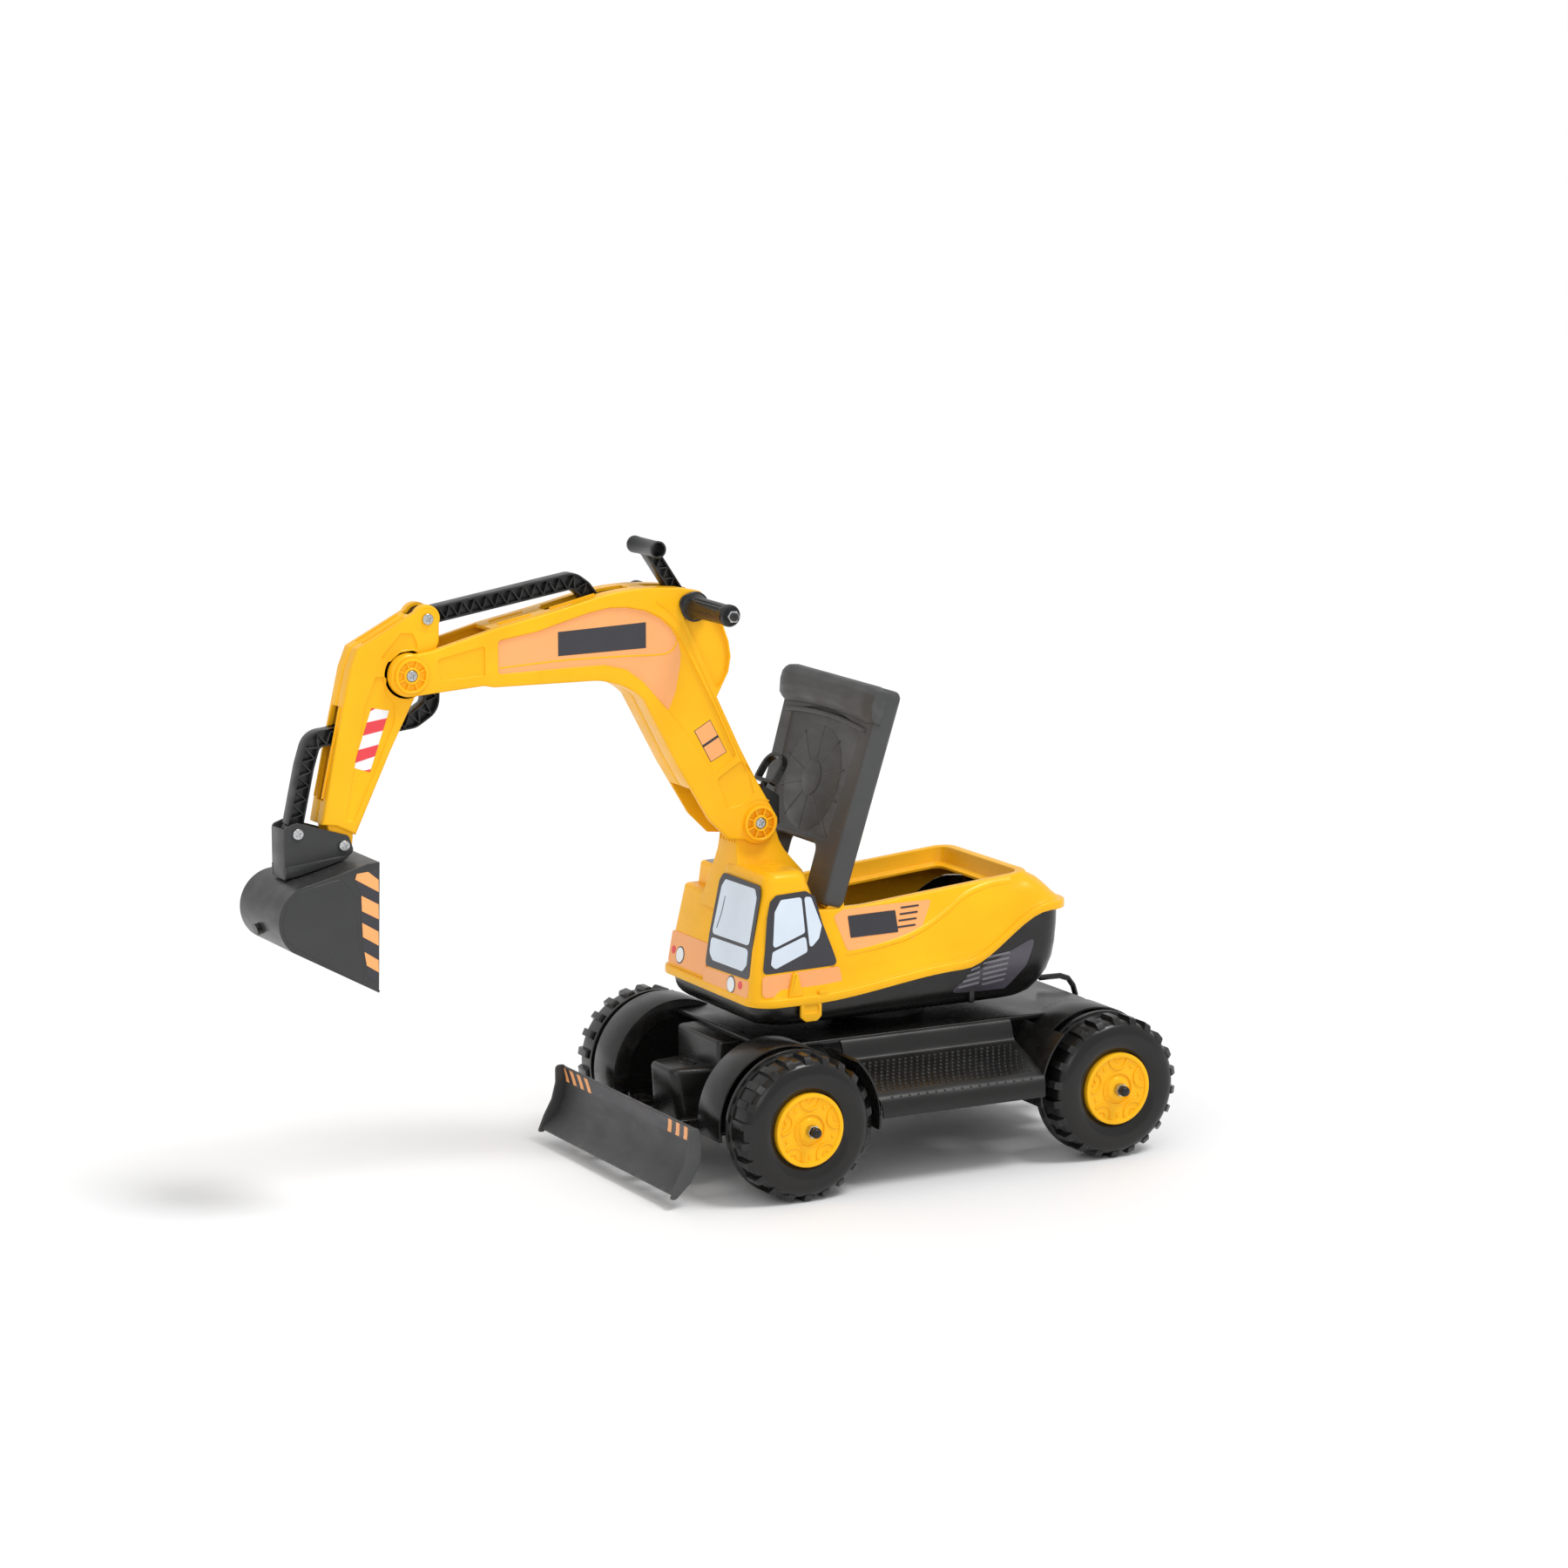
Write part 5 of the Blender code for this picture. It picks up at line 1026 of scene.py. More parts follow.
    vent, slats = bmesh.new(), bmesh.new()
    rows = [(0, 0.235 + 0.012 * k) for k in range(10)] + [(1, 0.186 + 0.006 * k) for k in range(11)]
    shape = rounded([(0.229, 0.19), (0.26, 0.211), (0.345, 0.246), (0.333, 0.212),
                     (0.308, 0.187)], 0.006, 5)
    for sign in SIDES.values():
        tub = mirrored(sign, tub_side)
        sticker(vent, shape, tub, 0.0005, rows)
        for k in range(6):
            z = 0.195 + 0.0062 * k
            for y0, y1 in ((0.243 + 0.005 * k, 0.27), (0.274, 0.305 + 0.001 * k)):
                if y1 - y0 < 0.006:
                    continue
                bar = rounded([(y0, z), (y1, z + 0.003), (y1, z + 0.0056), (y0, z + 0.0026)], 0.0012, 3)
                sticker(slats, bar, tub, 0.0011, rows)
    piece("vent_stickers", vent, "upper_body", VENT)
    piece("vent_slats", slats, "upper_body", SLAT)


# ---------------------------------------------------------------- seat
def seat_lid():
    """Lid drawn level, then turned to the angle at which it stands open."""
    y0, z0 = SEAT_HINGE
    top, skirt = z0 + 0.0225, z0 - 0.004
    front, rear = y0 - 0.004, y0 + SEAT_LENGTH
    outline = rounded([(-0.0985, front), (-0.0475, front), (-0.0475, y0 + 0.058), (0.0475, y0 + 0.058),
                       (0.0475, front), (0.0985, front), (0.1075, rear), (-0.1075, rear)], 0.01, 6)
    bm = bmesh.new()
    crest = arc((0, rear - 0.3), 0.262, 74, 106, 14)
    panel = [(-0.069, y0 + 0.064), (0.069, y0 + 0.064), (0.08, crest[0][1]), *crest,
             (-0.08, crest[0][1])]
    relief(bm, outline, skirt, top, 0.0058, [(rounded(panel, 0.004, 3), 0.0024, 0.005)], upright,
           [(inset(outline, 0.0036), 0.0236, 0.0012)], 5)
    hub = (0, y0 + 0.128)
    lathe(bm, [(0.06, top - 0.003), (0.06, top - 0.0022), (0.0592, top - 0.0018),
               (0.01, top - 0.0018)], hub, 72, False, upright)
    lathe(bm, [(0.02, top - 0.0025), (0.0198, top - 0.0012), (0.0188, top - 0.0008),
               (0.005, top - 0.0008)], hub, 48, False, upright)
    for k in range(10):
        a = math.radians(18 + 36 * k)
        start = (hub[0] + 0.022 * math.cos(a), hub[1] + 0.022 * math.sin(a))
        end = (hub[0] + 0.068 * math.cos(a), hub[1] + 0.06 * math.sin(a))
        rib(bm, start, end, 0.0011, top - 0.003, top - 0.0014, upright, 0.0004)
    lip_half, lip_steps = 0.1078, 24
    section = [(rear - 0.04, top - 0.012), (rear - 0.038, top + 0.002), (rear - 0.031, top + 0.0095),
               (rear - 0.02, top + 0.0135), (rear - 0.009, top + 0.013), (rear - 0.001, top + 0.0085),
               (rear + 0.001, top + 0.001), (rear + 0.0008, top - 0.012)]
    section = rounded(section, 0.006, 3)
    rings = []
    for k in range(lip_steps + 1):
        x = -lip_half + 2 * lip_half * k / lip_steps
        bow = 0.006 * (1 - (x / lip_half) ** 2)
        shrink = (0.0045, 0.0012, 0.0)[min(k, lip_steps - k, 2)]
        line = inset(section, shrink) if shrink else section
        rings.append([(x, y + (bow - 0.006 if y < rear - 0.02 else 0.0), z) for y, z in line])
    skin(bm, rings)
    ridge = [(x, rear - 0.052 + 0.007 * (1 - (x / 0.1) ** 2)) for x in
             (-0.092 + 0.184 * k / 20 for k in range(21))]
    solid(bm, ribbon(ridge, 0.006), top - 0.002, top + 0.002, 0.0018, upright)
    for sign in SIDES.values():
        lathe(bm, [(0.0054, 0.0545), (0.006, 0.0551), (0.006, 0.0834), (0.0054, 0.084)], SEAT_HINGE, 24,
              False, mirrored(sign))
        for x in (0.0545, 0.069, 0.081):
            web = [(y0 - 0.001, z0), (y0 + 0.022, z0 + 0.006), (y0 + 0.03, top - 0.003),
                   (y0 - 0.001, top - 0.003)]
            solid(bm, web, x, x + 0.003, 0.0005, mirrored(sign), 2)
    turn = Matrix.Translation((0, y0, z0)) @ Matrix.Rotation(math.radians(SEAT_OPEN), 4, "X")
    bmesh.ops.transform(bm, matrix=turn @ Matrix.Translation((0, -y0, -z0)), verts=bm.verts)
    piece("seat_moulding", bm, "seat", GREY, ["seat_lid"], 40)


# ---------------------------------------------------------------- arm pieces
def spoked_boss(bm, centre, sign, near, face, outer, spokes=8):
    """Round boss with an outer ring, an inner ring and spokes over a sunk floor."""
    side = mirrored(sign)
    inner = HEAD_RADIUS + 0.0032
    ring = [(outer - 0.0004, near), (outer, near + 0.0006), (outer, face - 0.001),
            (outer - 0.0006, face - 0.0002), (outer - 0.0012, face), (outer - 0.0026, face),
            (outer - 0.0032, face - 0.0006),
            (outer - 0.0036, face - 0.0068), (inner + 0.0006, face - 0.007),
            (inner, face - 0.0058), (inner - 0.0002, face - 0.0012), (inner - 0.001, face - 0.0006),
            (inner - 0.0022, face - 0.0006), (inner - 0.0028, face - 0.0012),
            (inner - 0.003, face - 0.0048), (0.001, face - 0.0048)]
    lathe(bm, ring, centre, 48, False, side)
    for k in range(spokes):
        start = arc(centre, inner - 0.0008, 22.5 + 360 * k / spokes, 0, 1)[0]
        end = arc(centre, outer - 0.0028, 22.5 + 360 * k / spokes, 0, 1)[0]
        rib(bm, start, end, 0.0014, face - 0.0075, face - 0.0008, side)


def room(sign, half, y, z):
    """A box to cut out, from just across the seam to x = half."""
    return ((-0.001 * sign, half * sign), y, z)


def boom_outline():
    """Side view of the boom, counter-clockwise from the foot of its front edge."""
    outline = rounded([(-0.067, 0.462), (-0.028, 0.398), (-0.004, 0.3745)], 0.01, 3, False)
    outline += arc(BOOM_PIVOT, 0.024, 228, 370, 20)
    outline += [(0.031, 0.439), (0.012, 0.474), (-0.018, 0.536), (-0.0035, 0.563), (-0.0005, 0.58),
                (-0.003, 0.597), (-0.01, 0.616), (-0.026, 0.64), (-0.038, 0.655)]
    outline += smooth_path([(-0.062, 0.66), (-0.088, 0.662), (-0.114, 0.6625), (-0.151, 0.659),
                            (-0.214, 0.645), (-0.284, 0.631)], 5)
    outline += [(-0.297, 0.6275), (-0.361, 0.611)]
    outline += arc(ELBOW, 0.0235, 70, 270, 26)
    outline += [(-0.3, 0.569), (-0.288, 0.5665)]
    outline += smooth_path([(-0.18, 0.565), (-0.16, 0.564), (-0.138, 0.558), (-0.12, 0.549),
                            (-0.109, 0.54)], 5)
    return outline


MAIN_PANEL = [(-0.284, 0.618), (-0.236, 0.625), (-0.206, 0.633), (-0.175, 0.641), (-0.15, 0.645),
              (-0.128, 0.644), (-0.106, 0.639), (-0.087, 0.63), (-0.072, 0.617), (-0.062, 0.601),
              (-0.046, 0.572), (-0.022, 0.527), (0.006, 0.468), (-0.022, 0.45), (-0.05, 0.489),
              (-0.079, 0.525), (-0.11, 0.559), (-0.129, 0.573), (-0.156, 0.58), (-0.188, 0.58),
              (-0.237, 0.5795), (-0.284, 0.579)]
BASE_PANEL = [(-0.019, 0.444), (0.011, 0.462), (0.02, 0.456), (0.028, 0.424), (0.014, 0.412),
              (-0.005, 0.408)]
TIP_PANEL = [(-0.299, 0.613), (-0.299, 0.58), (-0.352, 0.578), (-0.355, 0.602)]
REAR_PANEL = [(-0.042, 0.65), (-0.027, 0.637), (-0.0125, 0.615), (-0.0058, 0.597), (-0.0034, 0.5805),
              (-0.0062, 0.564), (-0.0185, 0.5425), (-0.034, 0.575), (-0.05, 0.608), (-0.06, 0.627)]
PANEL_DEPTH = 0.0032


def boom_half(side):
    """One hollow half of the boom, with its panels, bosses and stickers."""
    sign = SIDES[side]
    place = mirrored(sign)
    bm = bmesh.new()
    outline = boom_outline()
    panels = [(rounded(shape, corner, 4), depth, fillet) for shape, corner, depth, fillet in
              ((MAIN_PANEL, 0.006, PANEL_DEPTH, 0.002), (BASE_PANEL, 0.004, 0.0018, 0.0016),
               (TIP_PANEL, 0.003, 0.002, 0.0014), (REAR_PANEL, 0.004, 0.0042, 0.0014))]
    relief(bm, outline, SEAM, BOOM_HALF, 0.0024, panels, place,
           [(inset(outline, 0.0034), 0.0235, 0.0004)], 4)
    bm = carved(bm, [room(sign, 0.0205, (-0.425, -0.318), (0.54, 0.68)),
                     room(sign, 0.0205, (-0.33, -0.288), (0.6, 0.68)),
                     room(sign, 0.0235, (-0.06, 0.075), (0.34, 0.435)),
                     room(sign, 0.01, (-0.218, -0.118), (0.63, 0.7)),
                     room(sign, 0.01, (-0.098, -0.0235), (0.63, 0.7))])
    spoked_boss(bm, BOOM_PIVOT, sign, TOWER_HALF, BOSS_FACE, 0.02)
    spoked_boss(bm, ELBOW, sign, DIPPER_HALF, BOSS_FACE, 0.0192)
    lathe(bm, [(0.0225, BOOM_HALF - 0.002), (0.0225, BOOM_HALF + 0.0008), (0.0215, BOOM_HALF + 0.0016),
               (0.015, BOOM_HALF + 0.0018)], ELBOW, 48, False, place)
    bow = arc(BOOM_PIVOT, 0.027, 62, 128, 10)
    solid(bm, ribbon(bow, 0.0014), BOOM_HALF - 0.002, BOOM_HALF + 0.0006, 0.0005, place, 2)
    ridge = smooth_path([(-0.281, 0.587), (-0.206, 0.59), (-0.14, 0.5895), (-0.097, 0.588),
                         (-0.078, 0.589), (-0.069, 0.596), (-0.066, 0.605)], 4)
    solid(bm, ribbon(ridge, 0.002), BOOM_HALF - 0.005, BOOM_HALF - PANEL_DEPTH + 0.0007, 0.0006, place, 2)
    bead = [(0.019, 0.451), (0.0085, 0.472), (-0.0205, 0.533), (-0.04, 0.574), (-0.0555, 0.604),
            (-0.066, 0.623), (-0.079, 0.6375), (-0.093, 0.648)]
    solid(bm, ribbon(smooth_path(bead, 4), 0.0018), BOOM_HALF - 0.002, BOOM_HALF + 0.0008, 0.0006, place, 2)
    for start, end in (((-0.276, 0.633), (-0.236, 0.6405)), ((-0.214, 0.6455), (-0.16, 0.6575))):
        solid(bm, ribbon([start, end], 0.0026), 0.01, 0.0125, 0.0006, place, 2)
    piece(f"boom_{side}_moulding", bm, "boom", YELLOW, [f"boom_{side}"], 34)

    face = BOOM_HALF - PANEL_DEPTH
    decal, dark = bmesh.new(), bmesh.new()
    tint = [(-0.2825, 0.6165), (-0.236, 0.6235), (-0.206, 0.6315), (-0.175, 0.6395), (-0.15, 0.6435),
            (-0.128, 0.6425), (-0.106, 0.6375), (-0.088, 0.6285), (-0.074, 0.616), (-0.065, 0.601),
            (-0.062, 0.587), (-0.0629, 0.5731), (-0.0687, 0.5451), (-0.0774, 0.5245), (-0.11, 0.5605),
            (-0.129, 0.5745), (-0.156, 0.5815), (-0.188, 0.5815), (-0.237, 0.581), (-0.2825, 0.5805)]
    solid(decal, rounded(tint, 0.003, 3), face - 0.001, face + 0.0003, 0.0001, place, 1)
    turned = [(-0.0457, 0.4996), (-0.0258, 0.5109), (-0.005, 0.4728), (-0.025, 0.4629)]
    solid(dark, turned, face - 0.001, face + 0.0002, 0.0001, place, 1)
    for first, last in ((0.0, 0.48), (0.52, 1.0)):
        a, b, c, d = (Vector(p) for p in turned)
        square = [a.lerp(d, first), b.lerp(c, first), b.lerp(c, last), a.lerp(d, last)]
        solid(decal, inset([tuple(p) for p in square], 0.0007), face, face + 0.0004, 0.0001, place, 1)
    solid(dark, [(-0.211, 0.6215), (-0.1046, 0.625), (-0.1046, 0.5965), (-0.211, 0.595)],
          face, face + 0.0006, 0.0001, place, 1)
    piece(f"boom_{side}_orange_sticker", decal, "boom", ORANGE)
    piece(f"boom_{side}_dark_sticker", dark, "boom", DARK)


def dipper_outline():
    outline = [(-0.486, 0.432), (-0.47, 0.429), (-0.448, 0.418), (-0.405, 0.508)]
    outline += smooth_path([(-0.376, 0.563), (-0.36, 0.587), (-0.348, 0.62)], 4)
    outline += arc(ROD_PIN, 0.015, -15, 150, 18)
    outline += rounded([(-0.442, 0.618), (-0.451, 0.596), (-0.47, 0.513)], 0.01, 4, False)
    return outline


def dipper_half(side):
    """One hollow half of the dipper, with its tongue and label."""
    sign = SIDES[side]
    place = mirrored(sign)
    bm = bmesh.new()
    outline = dipper_outline()
    lower = [(-0.436, 0.556), (-0.423, 0.587), (-0.41, 0.586), (-0.412, 0.57), (-0.401, 0.556),
             (-0.401, 0.538), (-0.425, 0.485), (-0.45, 0.433), (-0.461, 0.433)]
    upper = [(-0.418, 0.605), (-0.393, 0.632), (-0.379, 0.631), (-0.374, 0.619), (-0.374, 0.613),
             (-0.394, 0.611), (-0.406, 0.602)]
    panels = [(rounded(lower, 0.004, 4), 0.0022, 0.0018), (rounded(upper, 0.003, 4), 0.002, 0.0014)]
    relief(bm, outline, SEAM, DIPPER_HALF, 0.003, panels, place,
           [(inset(outline, 0.0034), 0.014, 0.0004)], 4)
    bm = carved(bm, [room(sign, 0.0091, (-0.38, -0.32), (0.629, 0.68)),
                     room(sign, 0.0091, (-0.5, -0.452), (0.456, 0.556)),
                     room(sign, 0.0091, (-0.428, -0.36), (0.5, 0.57))])
    spoked_boss(bm, ROD_PIN, sign, DIPPER_HALF - 0.004, DIPPER_HALF + 0.0004, 0.0148, 6)
    lathe(bm, [(0.027, DIPPER_HALF - 0.003), (0.027, DIPPER_HALF - 0.0006), (0.0262, DIPPER_HALF),
               (0.01, DIPPER_HALF)], ELBOW, 48, False, place)
    tongue = rounded([(-0.48, 0.436), (-0.4735, 0.404), (-0.462, 0.397), (-0.451, 0.404),
                      (-0.448, 0.43)], 0.006, 5)
    solid(bm, tongue, SEAM, 0.0145, 0.0012, place)
    solid(bm, ribbon([(-0.4607, 0.556), (-0.4828, 0.459)], 0.0026), 0.0092, 0.0116, 0.0006, place, 2)
    solid(bm, ribbon([(-0.385, 0.648), (-0.433, 0.6232)], 0.0018), 0.007, 0.0094, 0.0005, place, 2)
    piece(f"dipper_{side}_moulding", bm, "dipper", YELLOW, [f"dipper_{side}"], 34)

    white, red = bmesh.new(), bmesh.new()
    face = DIPPER_HALF - 0.0022
    sheet = [(-0.4274, 0.5536), (-0.4071, 0.5491), (-0.4302, 0.4847), (-0.4496, 0.4908)]
    solid(white, sheet, face - 0.001, face + 0.0002, 0.0001, place, 1)
    a, b, c, d = (Vector(p) for p in sheet)
    bars = [[a.lerp(d, s0), b.lerp(c, t0), b.lerp(c, t1), a.lerp(d, s1)]
            for s0, s1, t0, t1 in ((0.24, 0.46, 0.12, 0.32), (0.7, 0.92, 0.55, 0.74))]
    for shape in bars + [[a, a.lerp(b, 0.22), a.lerp(d, 0.05)], [c, c.lerp(d, 0.35), c.lerp(b, 0.05)]]:
        solid(red, [tuple(p) for p in shape], face, face + 0.0005, 0.0001, place, 1)
    piece(f"dipper_{side}_white_sticker", white, "dipper", WHITE)
    piece(f"dipper_{side}_red_sticker", red, "dipper", RED)


def truss(bm, path, width, pitch, first, last):
    """Ribbed bar: thin web, two full-width flanges and zigzag ribs on both faces."""
    solid(bm, ribbon(path, width - 0.001), -0.0012, 0.0012, 0.0003, across, 1)
    for offset in (width / 2 - 0.0011, 0.0011 - width / 2):
        solid(bm, ribbon(beside(path, offset), 0.0022), -LINK_HALF, LINK_HALF, 0.0007, across, 2)
    lengths = [0.0]
    for a, b in zip(path, path[1:]):
        lengths.append(lengths[-1] + math.dist(a, b))

    def station(distance, offset):
        line = beside(path, offset)
        for k in range(len(path) - 1):
            if distance <= lengths[k + 1] or k == len(path) - 2:
                t = (distance - lengths[k]) / (lengths[k + 1] - lengths[k])
                return tuple(Vector(line[k]).lerp(Vector(line[k + 1]), min(1.0, t)))

    reach = width / 2 - 0.0018
    count = max(2, round((lengths[-1] - first - last) / pitch))
    step = (lengths[-1] - first - last) / count
    for k in range(count):
        near, far = first + k * step, first + (k + 1) * step
        middle = (near + far) / 2
        for start, end in ((station(near, -reach), station(middle, reach)),
                           (station(middle, reach), station(far, -reach))):
            rib(bm, start, end, 0.0014, -LINK_HALF + 0.0012, LINK_HALF - 0.0012)


def eye(bm, centre, radius, bore, half=LINK_HALF):
    lathe(bm, [(bore, -half), (radius - 0.0005, -half), (radius, -half + 0.0006), (radius, half - 0.0006),
               (radius - 0.0005, half), (bore, half)], centre, 32, True)


def control_rod():
    bm = bmesh.new()
    start = Vector(ROD_PIN)
    top = Vector((-0.183, 0.6735))
    run = (top - start).normalized()
    path = [tuple(start + run * 0.008), (-0.183, 0.6735), (-0.17, 0.664), (-0.135, 0.617),
            (-0.108, 0.581), (-0.099, 0.5738)]
    path = rounded(path, 0.012, 5, False)
    truss(bm, path, 0.018, 0.015, first=0.004, last=0.006)
    eye(bm, ROD_PIN, 0.0105, 0.0038)
    solid(bm, ribbon([(-0.112, 0.584), (-0.076, 0.561)], 0.013), -0.0046, 0.0046, 0.001, across, 2)
    eye(bm, CRANK_PIN, 0.01, 0.0064, 0.0046)
    piece("control_rod_moulding", bm, "rod", ROD, ["control_rod"])


def bucket_link():
    bm = bmesh.new()
    path = rounded([(-0.352, 0.586), (-0.353, 0.548), (-0.374, 0.535), (-0.447, 0.527),
                    (-0.49, 0.5225), (-0.499, 0.494), (-0.5128, 0.432)], 0.016, 6, False)
    truss(bm, path, 0.018, 0.015, first=0.004, last=0.006)
    eye(bm, LINK_PIN, 0.0095, 0.0038)
    eye(bm, ANCHOR, 0.009, 0.0055)
    piece("bucket_link_moulding", bm, "link", ROD, ["bucket_link"])


def control_lever():
    """Ribbed stem with a T-shaped handle above and a forked crank below."""
    bm = bmesh.new()
    truss(bm, [T_GRIP, GRIP], 0.015, 0.016, first=0.01, last=0.01)
    eye(bm, GRIP, 0.0095, 0.0043)
    solid(bm, ribbon([(-0.0492, 0.633), (-0.064, 0.59)], 0.0115), -0.0084, 0.0084, 0.001, across, 2)
    for sign in SIDES.values():
        solid(bm, ribbon([(-0.06, 0.6), CRANK_PIN], 0.0115), 0.0055, 0.0085, 0.0005, mirrored(sign), 2)
        lathe(bm, [(0.0028, 0.0055), (0.0075, 0.0055), (0.008, 0.006), (0.008, 0.008), (0.0075, 0.0085),
                   (0.0028, 0.0085)], CRANK_PIN, 28, True, mirrored(sign))
    lathe(bm, [(0.001, 0.018), (0.0066, 0.018), (0.0072, 0.0186), (0.0074, 0.0296), (0.008, 0.0302),
               (0.009, 0.0302), (0.0096, 0.0294), (0.0096, 0.025), (0.0092, 0.024), (0.0092, 0.001),
               (0.0092, -0.024), (0.0096, -0.025), (0.0096, -0.0294), (0.009, -0.0302),
               (0.008, -0.0302), (0.0074, -0.0296), (0.0072, -0.0186), (0.0066, -0.018),
               (0.001, -0.018)], T_GRIP, 40)
    piece("control_lever_moulding", bm, "lever", ROD, ["control_lever"])


def handgrip(side):
    """Fluted tube with a two-lobed flange against the boom."""
    sign = SIDES[side]
    start = BOOM_HALF + 0.0003
    bm = bmesh.new()

    def ring(height, radius, flute=0.0, lobes=0.0):
        points = []
        for k in range(72):
            a = 2 * math.pi * k / 72
            groove = max(0.0, math.cos(6 * a)) ** 6
            r = radius - flute * groove + lobes * max(0.0, math.cos(2 * a + 0.9)) ** 2
            points.append((sign * (start + height), GRIP[0] + r * math.cos(a), GRIP[1] + r * math.sin(a)))
        return points

    levels = [(0.0, 0.0164, 0, 0.0026), (0.0006, 0.0168, 0, 0.0027), (0.003, 0.0168, 0, 0.0027),
              (0.0036, 0.0162, 0, 0.0026), (0.004, 0.015, 0, 0.001), (0.0062, 0.0136, 0, 0),
              (0.009, 0.0122, 0, 0), (0.012, 0.0118, 0.0002, 0), (0.014, 0.0117, 0.0012, 0),
              (0.074, 0.0112, 0.0012, 0), (0.077, 0.0112, 0.0002, 0), (0.0785, 0.0119, 0, 0),
              (0.08, 0.0122, 0, 0), (0.085, 0.0122, 0, 0), (0.0866, 0.0116, 0, 0), (0.087, 0.0104, 0, 0),
              (0.0866, 0.0094, 0, 0), (0.0852, 0.009, 0, 0)]
    skin(bm, [ring(h, r, f, l) for h, r, f, l in levels])
    piece(f"handgrip_{side}_moulding", bm, "boom", ROD, [f"handgrip_{side}"])
    dome = bmesh.new()
    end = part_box(f"grip_nut_{side}")[1 if sign > 0 else 0].x * sign
    lathe(dome, [(0.0046, end - 0.0002), (0.0048, end + 0.0016), (0.0042, end + 0.003),
                 (0.0026, end + 0.004), (0.0008, end + 0.0043)], GRIP, 28, False, mirrored(sign))
    piece(f"handgrip_{side}_dome", dome, "boom", ROD)


def bucket():
    """Scoop of one bent sheet between two side walls."""
    bm = bmesh.new()
    back = arc((-0.513, 0.337), 0.04, 95, 232, 30)
    path = [(-0.437, 0.394), (-0.451, 0.394), (-0.484, 0.385), (-0.512, 0.378)] + back
    path += [(-0.44, 0.252)]
    wall = 0.0027
    inner = beside(path, wall)
    solid(bm, path + inner[::-1], -BUCKET_HALF + 0.001, BUCKET_HALF - 0.001, 0.0002, across, 1)
    for sign in SIDES.values():
        side = mirrored(sign)
        panel = rounded([(-0.483, 0.38), (-0.471, 0.368), (-0.465, 0.356), (-0.464, 0.3154),
                         (-0.4575, 0.274), (-0.46, 0.264), (-0.533, 0.3095), (-0.546, 0.32),
                         (-0.5495, 0.337), (-0.544, 0.356), (-0.529, 0.37), (-0.512, 0.3745)], 0.006, 4)
        relief(bm, path, BUCKET_HALF - wall, BUCKET_HALF, 0.0012, [(panel, -0.0006, 0.001)], side, (), 3)
    piece("bucket_moulding", bm, "bucket", BUCKET, ["bucket_shell"], 36)

    dark, orange = bmesh.new(), bmesh.new()
    zone = [(-0.4384, 0.3869), (-0.4683, 0.3786), (-0.4607, 0.3655), (-0.4593, 0.324), (-0.4573, 0.2942),
            (-0.453, 0.2701), (-0.4411, 0.2629)]
    bars = ([(-0.464, 0.384), (-0.451, 0.385), (-0.4392, 0.3752), (-0.4392, 0.362), (-0.466, 0.378)],
            [(-0.4593, 0.36), (-0.4397, 0.3487), (-0.4397, 0.3324), (-0.4589, 0.3432)],
            [(-0.4588, 0.3305), (-0.4402, 0.3191), (-0.4402, 0.3038), (-0.4583, 0.3151)],
            [(-0.4568, 0.2987), (-0.4407, 0.2881), (-0.4407, 0.2747), (-0.4543, 0.2836)])
    for sign in SIDES.values():
        side = mirrored(sign)
        solid(dark, rounded(zone, 0.003, 3), BUCKET_HALF - 0.0005, BUCKET_HALF + 0.0003, 0.0001, side, 1)
        for bar in bars:
            solid(orange, bar, BUCKET_HALF, BUCKET_HALF + 0.0006, 0.0001, side, 1)
    piece("bucket_dark_stickers", dark, "bucket", DARK)
    piece("bucket_orange_stickers", orange, "bucket", ORANGE)


def bucket_bracket():
    bm = bmesh.new()
    ear = rounded([(-0.53, 0.3855), (-0.459, 0.3935), (-0.45, 0.401), (-0.456, 0.418),
                   (-0.515, 0.437), (-0.53, 0.432)], 0.006, 6)
    for sign in SIDES.values():
        solid(bm, ear, 0.0151, BRACKET_HALF, 0.0008, mirrored(sign))
        foot = [(-0.53, 0.378), (-0.512, 0.38), (-0.484, 0.3868), (-0.459, 0.3935), (-0.46, 0.3975),
                (-0.53, 0.39)]
        solid(bm, foot, 0.014, 0.0195, 0.001, mirrored(sign))
    solid(bm, rounded([(-0.53, 0.376), (-0.527, 0.376), (-0.527, 0.43), (-0.53, 0.43)], 0.001, 2),
          -0.017, 0.017, 0.0006)
    solid(bm, [(-0.529, 0.3765), (-0.512, 0.379), (-0.484, 0.3862), (-0.46, 0.3925), (-0.46, 0.395),
               (-0.529, 0.388)], -0.017, 0.017, 0.0006)
    piece("bracket_moulding", bm, "bucket", BUCKET, ["bucket_bracket"])


